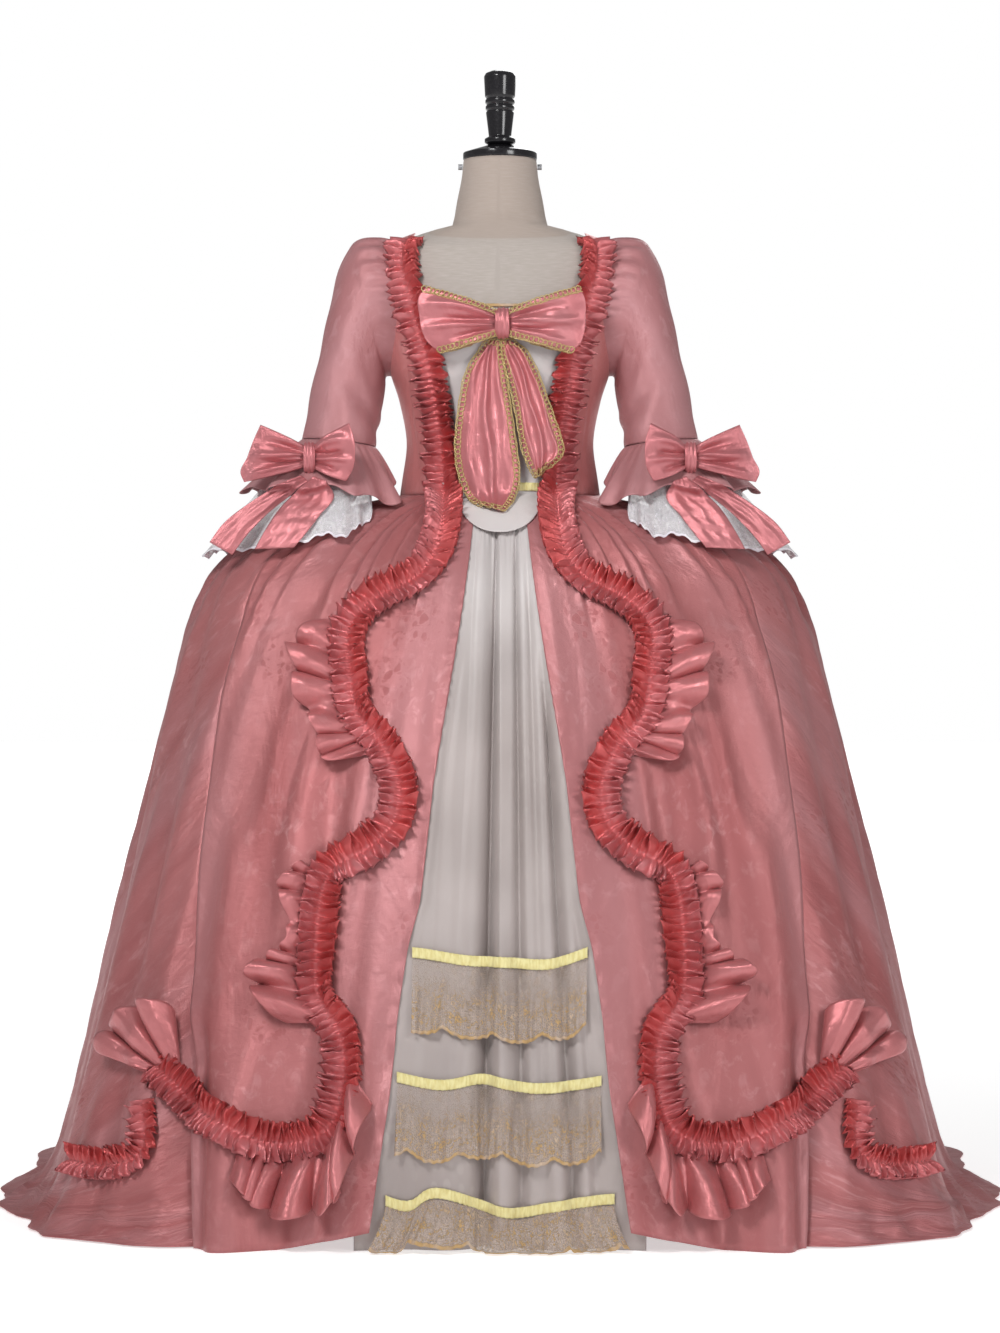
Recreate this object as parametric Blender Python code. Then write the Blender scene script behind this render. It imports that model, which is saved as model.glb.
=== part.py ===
"""Ball gown on a limbless dress form.

Metres, Z up, origin on the floor under the pole. The front faces -Y, and the
wearer's left is at +X. An angle of 0 faces front and 90 degrees faces +X.
"""
import math

import bmesh
import bpy
import numpy as np
from mathutils import Vector
from mathutils.bvhtree import BVHTree

# Driving sizes
CLOTH = 0.002
TRIM_CLOTH = 0.0015
GAP = 0.0004
SEAT = 0.0007
WAIST = 0.969
TOTAL_HEIGHT = 1.5556
FORM_INSET = 0.0051
RUFFLE_WIDTH = 0.050
RUFFLE_STEP = 0.040
FRILL_RISE = 0.009
FRILL_UNEVEN = 0.25
RIBBON_WIDTH = 0.014
RIBBON_STEP = 22

# The overskirt laps over the petticoat. Its hem rises at the front edge, within HEM_BAND
# of the floor and HEM_RISE_DEGREES of the edge. The petticoat sinks back in the same band
OVERLAP = 0.030
HEM_BAND = 0.12
HEM_RISE = 0.026
HEM_RISE_DEGREES = 14
PETTICOAT_SINK = 0.03
PETTICOAT_PLEATS = 3
PLEAT_DEPTH = 0.010

# The train runs out on the floor by this much at the middle of the back
TRAIN_RUN = 0.23
TRAIN_START = 45
TRAIN_SWAY = 0.10
TRAIN_WAVE = 0.004

# A pleat of a fan stands out by FAN_RISE at its rim, and a crest by FAN_CREST more. A fan
# stays FAN_CLEAR away from its ruffle and is at least FAN_LEAST wide
FAN_RISE = 0.003
FAN_CREST = 0.011
FAN_CLEAR = 0.006
FAN_LEAST = 0.012

# Flounces at the cuff
FLOUNCE_COLUMNS = 20
FLOUNCE_WAVES = 7
FLOUNCE_HOLLOW = 0.0036
LACE_INSET = 0.0021
SKIRT_CLEAR = 0.006

# The bow on the stomacher: its middle, how far it stands out, the reach of each loop,
# its height at the knot and at the ends, and how far it swells
BOW_X = 0.003
BOW_Z = 1.196
BOW_OUT = 0.0119
BOW_REACH = (0.112, 0.108)
BOW_PINCH = 0.020
BOW_TALL = 0.086
BOW_PUFF = 0.011
BOW_TILTS = (0.0, 0.0)
BOW_KNOT = (0.017, 0.0102, 0.0185)

# All loops: half the space between their walls at the knot, what the tip adds to it, how
# blunt the tip is and how the lean grows towards it. A tail is creased forward down its middle
BOW_THIN = 0.0022
BOW_TIP = 0.0012
BOW_BLUNT = 0.6
BOW_CURL = 1.6
STRIP_CREASE = 0.003

# The bow on the cuff, in the same terms. A loop's tip leans forward by its tilt
CUFF_BOW_X = 0.255
CUFF_BOW_Z = 1.016
CUFF_BOW_OUT = 0.0121
CUFF_BOW_REACH = (0.060, 0.094)
CUFF_BOW_TALL = 0.074
CUFF_BOW_PUFF = 0.007
CUFF_BOW_TILTS = (0.50, -0.05)
CUFF_KNOT = (0.0125, 0.0125, 0.0185)

# The front drawing is seen from this point and drawn on the plane y = 0
EYE = Vector((0.0, -5.0, 0.736))

# Skirt rings. Columns: height, half width, front depth, back depth, squareness
SKIRT = (
    (0.000, 0.602, 0.450, 0.640, 3.4),
    (0.030, 0.600, 0.447, 0.610, 3.3),
    (0.080, 0.591, 0.438, 0.575, 3.2),
    (0.140, 0.579, 0.427, 0.535, 3.1),
    (0.222, 0.560, 0.408, 0.490, 3.0),
    (0.305, 0.542, 0.390, 0.455, 2.9),
    (0.387, 0.525, 0.373, 0.425, 2.8),
    (0.470, 0.506, 0.355, 0.395, 2.7),
    (0.552, 0.486, 0.335, 0.365, 2.65),
    (0.635, 0.469, 0.312, 0.335, 2.6),
    (0.717, 0.449, 0.284, 0.300, 2.55),
    (0.800, 0.423, 0.250, 0.262, 2.5),
    (0.867, 0.389, 0.215, 0.225, 2.45),
    (0.900, 0.350, 0.190, 0.198, 2.4),
    (0.930, 0.290, 0.161, 0.168, 2.3),
    (0.955, 0.200, 0.128, 0.132, 2.2),
    (WAIST, 0.138, 0.105, 0.105, 2.1),
)

# Bodice rings, on the outside of the cloth. Columns as above
BODICE = (
    (0.860, 0.150, 0.108, 0.108, 2.1),
    (WAIST, 0.138, 0.105, 0.105, 2.1),
    (0.989, 0.136, 0.102, 0.101, 2.1),
    (1.046, 0.129, 0.098, 0.094, 2.1),
    (1.100, 0.139, 0.108, 0.094, 2.1),
    (1.142, 0.152, 0.118, 0.096, 2.2),
    (1.190, 0.155, 0.120, 0.097, 2.2),
    (1.236, 0.155, 0.112, 0.097, 2.3),
    (1.275, 0.161, 0.092, 0.092, 2.4),
    (1.300, 0.168, 0.077, 0.083, 2.3),
    (1.314, 0.168, 0.068, 0.074, 2.2),
    (1.327, 0.131, 0.062, 0.066, 2.1),
    (1.339, 0.096, 0.060, 0.064, 2.0),
    (1.346, 0.067, 0.060, 0.064, 2.0),
)

# Neck rings of the form. Columns: height, half width, front depth, back depth, squareness
NECK = (
    (1.354, 0.0625, 0.058, 0.061, 2.0),
    (1.373, 0.0594, 0.056, 0.058, 2.0),
    (1.408, 0.0526, 0.052, 0.053, 2.0),
    (1.432, 0.0500, 0.050, 0.050, 2.0),
)

# Large folds of the skirt. Columns: angle at the hip, angle at the hem, height of
# the cloth there (troughs below nought), half width in degrees at hip and hem,
# lowest and highest level
FOLDS = (
    (63, 43, -0.020, 2.5, 2.2, 0.00, 0.30),
    (60, 39, 0.010, 3.0, 3.0, 0.00, 0.60),
    (40, 28, -0.007, 3.0, 2.5, 0.05, 0.80),
    (50, 34, -0.006, 3.0, 2.2, 0.00, 0.55),
    (76, 56, -0.014, 3.5, 3.0, 0.03, 0.85),
    (88, 72, -0.010, 3.5, 3.0, 0.03, 0.80),
    (38, 33, 0.006, 4.0, 3.0, 0.80, 0.955),
    (52, 46, -0.007, 4.0, 3.0, 0.78, 0.950),
    (66, 62, 0.006, 4.0, 3.0, 0.78, 0.950),
    (82, 80, -0.007, 4.0, 3.0, 0.78, 0.950),
    (104, 98, 0.010, 4.0, 4.0, 0.03, 0.93),
    (118, 112, -0.016, 4.0, 3.5, 0.03, 0.95),
    (134, 130, 0.014, 4.0, 4.0, 0.03, 0.95),
    (150, 148, -0.018, 4.0, 3.5, 0.03, 0.95),
    (165, 165, 0.014, 4.0, 4.0, 0.03, 0.95),
)

# Front edge of the open overskirt. Columns: height, distance from the middle
SKIRT_EDGE = (
    (0.000, 0.166),
    (0.029, 0.163),
    (0.143, 0.153),
    (0.285, 0.136),
    (0.375, 0.1195),
    (0.438, 0.102),
    (0.586, 0.0855),
    (0.744, 0.060),
    (0.816, 0.049),
    (0.877, 0.041),
    (0.930, 0.035),
    (WAIST, 0.034),
)

# Seam between overskirt and train. Columns: height, angle
SIDE_SEAM = (
    (0.00, 43.5),
    (0.20, 48.0),
    (0.50, 55.0),
    (0.80, 62.0),
    (WAIST, 66.0),
)

# Front edge of the bodice, where it meets the stomacher. Columns: height, distance
BODICE_EDGE = (
    (WAIST, 0.0765),
    (1.038, 0.0760),
    (1.083, 0.0830),
    (1.146, 0.0910),
    (1.210, 0.1130),
    (1.227, 0.1165),
    (1.300, 0.1210),
    (1.327, 0.1175),
    (1.331, 0.1165),
)

# Back neckline. Columns: height, distance from the middle of the back
BACK_NECK = (
    (1.285, 0.0005),
    (1.300, 0.0800),
    (1.314, 0.1050),
    (1.327, 0.1150),
    (1.331, 0.1165),
)

# Armhole, an upright oval on the side of the bodice
ARMHOLE_HEIGHT = 1.2285
ARMHOLE_HALF_HEIGHT = 0.0875
ARMHOLE_HALF_DEPTH = 0.056

SKIRT_LEVELS = (0.0, 0.05, 0.12, 0.222, 0.36, 0.52, 0.68, 0.80, 0.867, 0.915, 0.95, WAIST)
BODICE_LEVELS = (0.9695, 1.0, 1.046, 1.10, 1.142, 1.19, 1.236, 1.275, 1.30, 1.314, 1.327, 1.3305)

# Tab at the foot of the stomacher. Columns: height, half width
TAB = (
    (0.915, 0.010),
    (0.920, 0.026),
    (0.932, 0.041),
    (0.950, 0.050),
    (WAIST, 0.053),
)
STOMACHER_LEVELS = (0.980, 1.0, 1.046, 1.10, 1.142, 1.19, 1.224)

# Sleeve rings. Columns: outer x and height, inner x and height, half depth, middle y
SLEEVE = (
    (0.190, 1.318, 0.1565, 1.134, 0.059, 0.000),
    (0.209, 1.307, 0.1575, 1.122, 0.059, 0.000),
    (0.225, 1.275, 0.1590, 1.108, 0.058, -0.002),
    (0.236, 1.219, 0.1605, 1.092, 0.057, -0.008),
    (0.2485, 1.160, 0.1635, 1.076, 0.056, -0.018),
    (0.262, 1.100, 0.1660, 1.058, 0.054, -0.030),
    (0.2715, 1.047, 0.1705, 1.036, 0.052, -0.042),
)

# Lower edge of the pink cuff flounce. Columns: direction (0 inner, 90 front), x, y, height
FLOUNCE_EDGE = (
    (0, 0.1500, -0.042, 0.990),
    (45, 0.1440, -0.118, 0.956),
    (68, 0.1820, -0.146, 0.964),
    (90, 0.2180, -0.148, 0.974),
    (135, 0.3050, -0.128, 0.975),
    (180, 0.3480, -0.042, 0.975),
    (225, 0.3050, 0.045, 0.975),
    (270, 0.2200, 0.068, 0.975),
    (315, 0.1650, 0.030, 0.988),
)

# Lower edge of the lace flounce. Columns as above
LACE_EDGE = (
    (0, 0.1780, -0.042, 0.998),
    (45, 0.1760, -0.138, 0.930),
    (68, 0.1960, -0.162, 0.912),
    (90, 0.2280, -0.168, 0.906),
    (135, 0.3200, -0.135, 0.896),
    (170, 0.4000, -0.060, 0.886),
    (195, 0.3900, 0.005, 0.888),
    (225, 0.3250, 0.050, 0.905),
    (270, 0.2220, 0.070, 0.945),
    (315, 0.1800, 0.012, 0.990),
)

# Ruffle paths in the front drawing. Columns: x, height; millimetres, wearer's left side
BODY_RUFFLE = (
    (128, 1322),
    (134, 1292),
    (120, 1242),
    (117, 1226),
    (94, 1157),
    (85, 1093),
    (77, 1046),
    (77, 999),
    (78, 972),
)
SKIRT_RUFFLE = (
    (80, 940),
    (85, 905),
    (103, 869),
    (131, 848),
    (158, 838),
    (182, 824),
    (197, 807),
    (208, 783),
    (210, 759),
    (206, 724),
    (202, 697),
    (194, 668),
    (176, 646),
    (160, 625),
    (146, 600),
    (139, 573),
    (140, 545),
    (150, 514),
    (172, 493),
    (201, 475),
    (227, 461),
    (241, 442),
    (250, 408),
    (254, 367),
    (254, 325),
    (252, 291),
    (237, 264),
    (221, 236),
    (214, 209),
    (213, 167),
    (219, 133),
    (230, 106),
    (260, 85),
    (302, 81),
    (346, 87),
    (389, 112),
    (425, 138),
    (448, 165),
)
TRAIN_RUFFLE = (
    (490, 140),
    (489, 112),
    (484, 84),
    (500, 58),
    (535, 50),
    (570, 52),
    (590, 58),
)

# Fans sewn under the ruffles. Columns: station on the ruffle's path, outer x and height
FAN_UPPER = (
    (7.0, 228, 798),
    (8.2, 279, 764),
    (9.4, 277, 730),
    (10.4, 268, 680),
    (11.6, 244, 650),
    (12.4, 238, 606),
    (13.2, 188, 612),
)
FAN_MIDDLE = (
    (20.8, 254, 455),
    (21.6, 306, 433),
    (22.8, 292, 388),
    (23.8, 301, 350),
    (24.8, 337, 308),
    (26.6, 295, 246),
)
FAN_LOWER = (
    (28.2, 170, 134),
    (29.2, 192, 70),
    (30.2, 202, 12),
    (31.4, 243, -12),
    (32.6, 300, -8),
    (34.2, 374, 28),
)
# Columns: inner x and height, outer x and height
FAN_SIDE = (
    (440, 188, 452, 260),
    (456, 186, 488, 261),
    (470, 186, 518, 236),
    (480, 182, 537, 212),
    (486, 176, 526, 190),
)

# Yellow ribbons in the front drawing. Columns: x, height; the middle of each ribbon
RIBBONS = {
    "ribbon_a": ((-121, 342), (-60, 335), (0, 329), (62, 327), (121, 342)),
    "ribbon_b": ((-142, 171), (-68, 160), (-26, 170), (62, 155), (140, 168)),
    "ribbon_c": ((-158, 3), (-116, -9), (-103, 14), (-26, -2), (20, -18), (88, -2), (158, 3)),
}
# Lace tiers. Columns: drop below the ribbon, foot's standing-out
LACE_TIERS = {"lace_a": (0.088, 0.010), "lace_b": (0.086, 0.012), "lace_c": (0.052, 0.020)}

# Tails of the bow on the stomacher. Columns: height, one edge x, other edge x
BOW_TAIL_R = (
    (1.1735, -0.014, -0.002),
    (1.158, -0.027, 0.000),
    (1.121, -0.047, 0.007),
    (1.038, -0.059, 0.020),
    (0.991, -0.054, 0.025),
    (0.962, -0.041, 0.018),
    (0.953, -0.028, 0.004),
)
BOW_TAIL_L = (
    (1.1735, 0.001, 0.014),
    (1.158, 0.003, 0.034),
    (1.130, 0.011, 0.049),
    (1.100, 0.018, 0.060),
    (1.069, 0.024, 0.071),
    (1.025, 0.032, 0.083),
    (1.003, 0.048, 0.062),
)
# Tails of the cuff bow. Columns: one edge x and height, other edge x and height, y
CUFF_TAIL_OUT = (
    (0.266, 0.9920, 0.256, 0.984, -0.108),
    (0.300, 0.9780, 0.283, 0.964, -0.118),
    (0.3375, 0.954, 0.312, 0.940, -0.128),
    (0.368, 0.9290, 0.338, 0.912, -0.138),
    (0.388, 0.9020, 0.3575, 0.885, -0.145),
)
CUFF_TAIL_IN = (
    (0.249, 0.9900, 0.232, 0.984, -0.118),
    (0.272, 0.9700, 0.222, 0.962, -0.135),
    (0.294, 0.9470, 0.240, 0.938, -0.150),
    (0.311, 0.9200, 0.256, 0.916, -0.162),
    (0.3260, 0.892, 0.2735, 0.894, -0.170),
)

# Turned black cap and finial. Columns: radius, height
CAP_PROFILE = ((0.0, 1.4325), (0.0507, 1.4325), (0.0507, 1.4416), (0.018, 1.452), (0.0, 1.452))
FINIAL_PROFILE = (
    (0.0, 1.4523),
    (0.0150, 1.4523),
    (0.0211, 1.4558),
    (0.0211, 1.4612),
    (0.0153, 1.4645),
    (0.0193, 1.4980),
    (0.0176, 1.4995),
    (0.0198, 1.5020),
    (0.0198, 1.5060),
    (0.0178, 1.5080),
    (0.0202, 1.5105),
    (0.0202, 1.5145),
    (0.0184, 1.5165),
    (0.0206, 1.5195),
    (0.0220, 1.5470),
    (0.0195, 1.5515),
    (0.0120, 1.5545),
    (0.0, TOTAL_HEIGHT),
)
FOOT_RADIUS = 0.16
FOOT_HEIGHT = 0.018
POLE_RADIUS = 0.016
FORM_FOOT = 0.880
STUD_RADIUS = 0.004
STUD_LENGTH = 0.006
STUD_HEIGHT = 1.4225

PINK = ((0.50, 0.16, 0.17), 0.45, 0.0)
DEEP_PINK = ((0.60, 0.14, 0.15), 0.45, 0.0)
CREAM = ((0.50, 0.43, 0.39), 0.50, 0.0)
YELLOW = ((0.62, 0.54, 0.22), 0.50, 0.0)
LACE_WHITE = ((0.75, 0.74, 0.76), 0.80, 0.0)
LACE_GOLD = ((0.48, 0.39, 0.27), 0.80, 0.0)
LINEN = ((0.50, 0.45, 0.41), 0.85, 0.0)
BLACK = ((0.012, 0.011, 0.013), 0.20, 0.0)
STEEL = ((0.40, 0.40, 0.42), 0.35, 1.0)


def read_table(table, height):
    """The columns of a table at one height, straight between its rows."""
    rows = np.array(table)
    return [float(np.interp(height, rows[:, 0], rows[:, k])) for k in range(1, rows.shape[1])]


def ring_point(table, height, angle, ripple=0.0):
    """The point of a squared oval ring at an angle in degrees, measured round the Z axis."""
    width, front, back, square = read_table(table, height)
    sine = math.sin(math.radians(angle))
    cosine = math.cos(math.radians(angle))
    depth = front if cosine > 0 else back
    reach = (abs(sine) / width) ** square + (abs(cosine) / depth) ** square
    radius = reach ** (-1 / square) + ripple
    return Vector((radius * sine, -radius * cosine, height))


def angle_at(table, height, across, back=False):
    """The angle of the ring's point that lies this far from the middle."""
    width, front, rear, square = read_table(table, height)
    share = min(abs(across) / width, 1.0)
    depth = (rear if back else front) * (1 - share ** square) ** (1 / square)
    return math.degrees(math.atan2(abs(across), -depth if back else depth))


def even_angles(table, height, start, end, count):
    """Angles that share the turn of a ring evenly, from start to end."""
    width, front, back, _ = read_table(table, height)

    def turn_of(angle):
        depth = front if math.cos(math.radians(angle)) > 0 else back
        return math.atan2(math.sin(math.radians(angle)) / width, math.cos(math.radians(angle)) / depth)

    angles = []
    for turn in np.linspace(turn_of(start), turn_of(end), count):
        depth = front if math.cos(turn) > 0 else back
        angles.append(math.degrees(math.atan2(width * math.sin(turn), depth * math.cos(turn))))
    return angles


def fold_height(angle, height):
    """How far the folds lift the skirt's cloth at a place."""
    side = abs((angle + 180) % 360 - 180)
    total = 0.0
    for hip, hem, reach, wide_hip, wide_hem, low, high in FOLDS:
        up = height / WAIST
        middle = hem + (hip - hem) * up
        wide = wide_hem + (wide_hip - wide_hem) * up
        ease = 0.25 * (high - low)
        fade = min(1.0, max(0.0, (high - height) / ease))
        if low > 0.2:
            fade *= min(1.0, max(0.0, (height - low) / ease))
        total += reach * fade * math.exp(-((side - middle) / wide) ** 2)
    return total


def skirt_point(angle, height):
    """A point of the overskirt's outer face."""
    return ring_point(SKIRT, height, angle, ripple=fold_height(angle, height))


def bodice_point(angle, height):
    """A point of the bodice's outer face."""
    return ring_point(BODICE, height, angle)


def surface_normal(surface, angle, height):
    """The outward direction of a surface given by angle and height."""
    step = 0.004
    low = max(height - step, 0.0)
    along = surface(angle + 0.4, height) - surface(angle - 0.4, height)
    upward = surface(angle, min(height + step, 1.345)) - surface(angle, low)
    return along.cross(upward).normalized()


def paint(thing, look):
    """Gives an object its own material."""
    colour, roughness, metallic = look
    material = bpy.data.materials.new(thing.name)
    material.use_nodes = True
    shader = material.node_tree.nodes["Principled BSDF"]
    shader.inputs["Base Color"].default_value = (*colour, 1.0)
    shader.inputs["Roughness"].default_value = roughness
    shader.inputs["Metallic"].default_value = metallic
    thing.data.materials.append(material)


def make_object(name, points, faces, look):
    """A closed body from points and faces, its faces turned outward."""
    mesh = bpy.data.meshes.new(name)
    body = bmesh.new()
    corners = [body.verts.new(point) for point in points]
    for face in faces:
        body.faces.new([corners[k] for k in face])
    bmesh.ops.recalc_face_normals(body, faces=body.faces)
    if body.calc_volume(signed=True) < 0:
        bmesh.ops.reverse_faces(body, faces=body.faces)
    body.to_mesh(mesh)
    body.free()
    thing = bpy.data.objects.new(name, mesh)
    bpy.context.collection.objects.link(thing)
    paint(thing, look)
    return thing


def cell_halves(grid, r, c, after):
    """The two triangles of a grid's cell. They are split alike on both sides of the middle."""
    if abs(grid[r][c].x) <= abs(grid[r][after].x):
        return (((r, c), (r, after), (r + 1, after)), ((r, c), (r + 1, after), (r + 1, c)))
    return (((r, c), (r, after), (r + 1, c)), ((r, after), (r + 1, after), (r + 1, c)))


def wall(name, outer, inner, look, loop=False):
    """A cloth wall between two grids of points, in rows. A loop joins each row's ends."""
    rows = len(outer)
    columns = len(outer[0])
    points = [p for row in outer for p in row] + [p for row in inner for p in row]
    points = [Vector((p.x, p.y, max(p.z, 0.0))) for p in points]
    back = rows * columns
    faces = []

    def quad(a, b, c, d):
        faces.append((a, b, c))
        faces.append((a, c, d))

    last = columns if loop else columns - 1
    for r in range(rows - 1):
        for c in range(last):
            for half in cell_halves(outer, r, c, (c + 1) % columns):
                corners = [i * columns + j for i, j in half]
                faces.append(tuple(corners))
                faces.append(tuple(back + k for k in corners[::-1]))
    for c in range(last):
        for r in (0, rows - 1):
            a = r * columns + c
            b = r * columns + (c + 1) % columns
            quad(a, back + a, back + b, b)
    if not loop:
        for r in range(rows - 1):
            for c in (0, columns - 1):
                a = r * columns + c
                quad(a, a + columns, back + a + columns, back + a)
    return make_object(name, points, faces, look)


def surface_wall(name, surface, grid, look, mirror=False):
    """A wall on a surface. grid holds rows of (angle, height) or (angle, height, extra out)."""
    flip = -1.0 if mirror else 1.0
    outer = []
    inner = []
    for row in grid:
        outer_row = []
        inner_row = []
        for angle, height, *extra in row:
            normal = surface_normal(surface, angle, height)
            point = surface(angle, height) + normal * sum(extra)
            under = point - normal * CLOTH
            outer_row.append(Vector((point.x * flip, point.y, point.z)))
            inner_row.append(Vector((under.x * flip, under.y, under.z)))
        outer.append(outer_row)
        inner.append(inner_row)
    return wall(name, outer, inner, look)


def tree_of(*things):
    """A search tree over the faces of some objects."""
    points = []
    faces = []
    for thing in things:
        start = len(points)
        points += [vertex.co.copy() for vertex in thing.data.vertices]
        faces += [[start + k for k in polygon.vertices] for polygon in thing.data.polygons]
    return BVHTree.FromPolygons(points, faces)


def lay(tree, x, height):
    """Where the sight line through a place of the front drawing meets a surface, in millimetres."""
    aim = Vector((x / 1000, 0.0, height / 1000)) - EYE
    point, normal, _, _ = tree.ray_cast(EYE, aim.normalized())
    if point is None:
        return None, None
    if normal.dot(aim) > 0:
        normal = -normal
    return point, normal


def smooth_path(rows, step):
    """Points on a smooth curve through the rows, and each point's station on it."""
    knots = [Vector(row) for row in rows]
    dense = []
    for k in range(len(knots) - 1):
        before = knots[max(k - 1, 0)]
        after = knots[min(k + 2, len(knots) - 1)]
        for part in range(8):
            t = part / 8
            a = 2 * knots[k]
            b = knots[k + 1] - before
            c = 2 * before - 5 * knots[k] + 4 * knots[k + 1] - after
            d = -before + 3 * knots[k] - 3 * knots[k + 1] + after
            dense.append((k + t, 0.5 * (a + b * t + c * t * t + d * t ** 3)))
    dense.append((len(knots) - 1, knots[-1]))
    lengths = [0.0]
    for (_, p), (_, q) in zip(dense, dense[1:]):
        lengths.append(lengths[-1] + (q - p).length)
    count = max(2, round(lengths[-1] / step))
    wanted = np.linspace(0, lengths[-1], count + 1)
    stations = np.interp(wanted, lengths, [s for s, _ in dense])
    axes = [np.interp(wanted, lengths, [p[k] for _, p in dense]) for k in range(len(rows[0]))]
    return [(float(s), Vector(place)) for s, place in zip(stations, zip(*axes))]


def seat(grid, outward, tree, rounds=3, above=0.05):
    """Raises a grid of underside points until every cell clears the surface under it."""
    rows = len(grid)
    columns = len(grid[0])
    parts = 6
    weights = []
    for a in range(parts + 1):
        for b in range(parts + 1 - a):
            weights.append((a / parts, b / parts, 1 - (a + b) / parts))
    for _ in range(rounds):
        lift = [[0.0] * columns for _ in range(rows)]
        for r in range(rows - 1):
            for c in range(columns - 1):
                for half in cell_halves(grid, r, c, c + 1):
                    need = 0.0
                    for shares in weights:
                        point = sum((grid[i][j] * w for w, (i, j) in zip(shares, half)), Vector())
                        way = sum((outward[i][j] * w for w, (i, j) in zip(shares, half)), Vector())
                        way.normalize()
                        hit, _, _, _ = tree.ray_cast(point + way * above, -way, above + SEAT)
                        if hit is not None:
                            need = max(need, SEAT - (point - hit).dot(way))
                    for i, j in half:
                        lift[i][j] = max(lift[i][j], need)
        for r in range(rows):
            for c in range(columns):
                grid[r][c] = grid[r][c] + outward[r][c] * lift[r][c]
    return grid


def laid_wall(name, grid, outward, tree, look, thick=CLOTH, mirror=False):
    """A wall seated on what lies under it, and its mirror image where asked."""
    under = seat(grid, outward, tree)
    over = []
    for points, ways in zip(under, outward):
        over.append([p + way * thick for p, way in zip(points, ways)])
    made = [wall(name if not mirror else name + "_l", over, under, look)]
    if mirror:
        flip = Vector((-1, 1, 1))
        left = [[p * flip for p in row] for row in over]
        below = [[p * flip for p in row] for row in under]
        made.append(wall(name + "_r", left, below, look))
    return made


def mirrored(thing, name):
    """A copy of an object on the other side of the middle plane."""
    points = [Vector((-v.co.x, v.co.y, v.co.z)) for v in thing.data.vertices]
    faces = [list(p.vertices)[::-1] for p in thing.data.polygons]
    look = thing.data.materials[0].node_tree.nodes["Principled BSDF"].inputs
    colour = tuple(look["Base Color"].default_value)[:3]
    finish = (colour, look["Roughness"].default_value, look["Metallic"].default_value)
    return make_object(name, points, faces, finish)


def turned(name, profile, segments, look):
    """A body turned round the Z axis. Its profile starts and ends on the axis."""
    points = [Vector((0, 0, profile[0][1])), Vector((0, 0, profile[-1][1]))]
    for radius, height in profile[1:-1]:
        for k in range(segments):
            angle = 2 * math.pi * k / segments
            points.append(Vector((radius * math.cos(angle), radius * math.sin(angle), height)))
    rings = len(profile) - 2
    faces = []
    for k in range(segments):
        after = (k + 1) % segments
        faces.append((0, 2 + after, 2 + k))
        top = 2 + (rings - 1) * segments
        faces.append((1, top + k, top + after))
        for r in range(rings - 1):
            low = 2 + r * segments
            faces.append((low + k, low + after, low + segments + after, low + segments + k))
    return make_object(name, points, faces, look)


def smooth_closed(rows, direction):
    """A closed table's columns at a direction in degrees, eased between its rows."""
    degrees = [row[0] for row in rows] + [rows[0][0] + 360]
    table = list(rows) + [rows[0]]
    place = (direction - degrees[0]) % 360 + degrees[0]
    for k in range(len(rows)):
        if degrees[k] <= place <= degrees[k + 1]:
            share = (place - degrees[k]) / (degrees[k + 1] - degrees[k])
            share = share * share * (3 - 2 * share)
            low = Vector(table[k][1:])
            return low + (Vector(table[k + 1][1:]) - low) * share
    raise ValueError(direction)


def build_stand():
    """The smooth form, its cap and finial, and the stand under it."""
    levels = [row[0] for row in BODICE if row[0] > FORM_FOOT]
    levels = [FORM_FOOT] + levels
    columns = 32
    rings = []
    for height in levels:
        ring = []
        turn = even_angles(BODICE, height, 0, 179.9, columns // 2 + 1)
        for angle in turn[:-1] + [180] + [-angle for angle in turn[-2:0:-1]]:
            normal = surface_normal(bodice_point, angle, height)
            ring.append(bodice_point(angle, height) - normal * FORM_INSET)
        rings.append(ring)
    for height, *_ in NECK:
        rings.append([ring_point(NECK, height, 360 * k / columns) for k in range(columns)])
    points = [p for ring in rings for p in ring]
    faces = []
    for r in range(len(rings) - 1):
        for k in range(columns):
            a = r * columns + k
            b = r * columns + (k + 1) % columns
            faces.append((a, b, b + columns, a + columns))
    faces.append(list(range(columns)))
    faces.append(list(range((len(rings) - 1) * columns, len(rings) * columns)))
    torso = make_object("form_torso", points, faces, LINEN)
    turned("neck_cap", CAP_PROFILE, 32, BLACK)
    turned("finial", FINIAL_PROFILE, 20, BLACK)
    foot = ((0.0, 0.0), (FOOT_RADIUS, 0.0), (FOOT_RADIUS, FOOT_HEIGHT * 0.6))
    foot += ((FOOT_RADIUS - 0.012, FOOT_HEIGHT), (0.0, FOOT_HEIGHT))
    turned("base_foot", foot, 32, BLACK)
    low = FOOT_HEIGHT + GAP
    high = FORM_FOOT - GAP
    turned("pole", ((0.0, low), (POLE_RADIUS, low), (POLE_RADIUS, high), (0.0, high)), 16, STEEL)
    for side, name in ((1, "stud_l"), (-1, "stud_r")):
        root = ring_point(NECK, STUD_HEIGHT, 90).x + GAP
        points = []
        for reach in (root, root + STUD_LENGTH):
            for k in range(10):
                angle = 2 * math.pi * k / 10
                y = STUD_RADIUS * math.cos(angle)
                z = STUD_HEIGHT + STUD_RADIUS * math.sin(angle)
                points.append(Vector((side * reach, y, z)))
        faces = [(k, (k + 1) % 10, (k + 1) % 10 + 10, k + 10) for k in range(10)]
        faces.append(list(range(10)))
        faces.append(list(range(10, 20)))
        make_object(name, points, faces, STEEL)
    return torso


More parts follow.
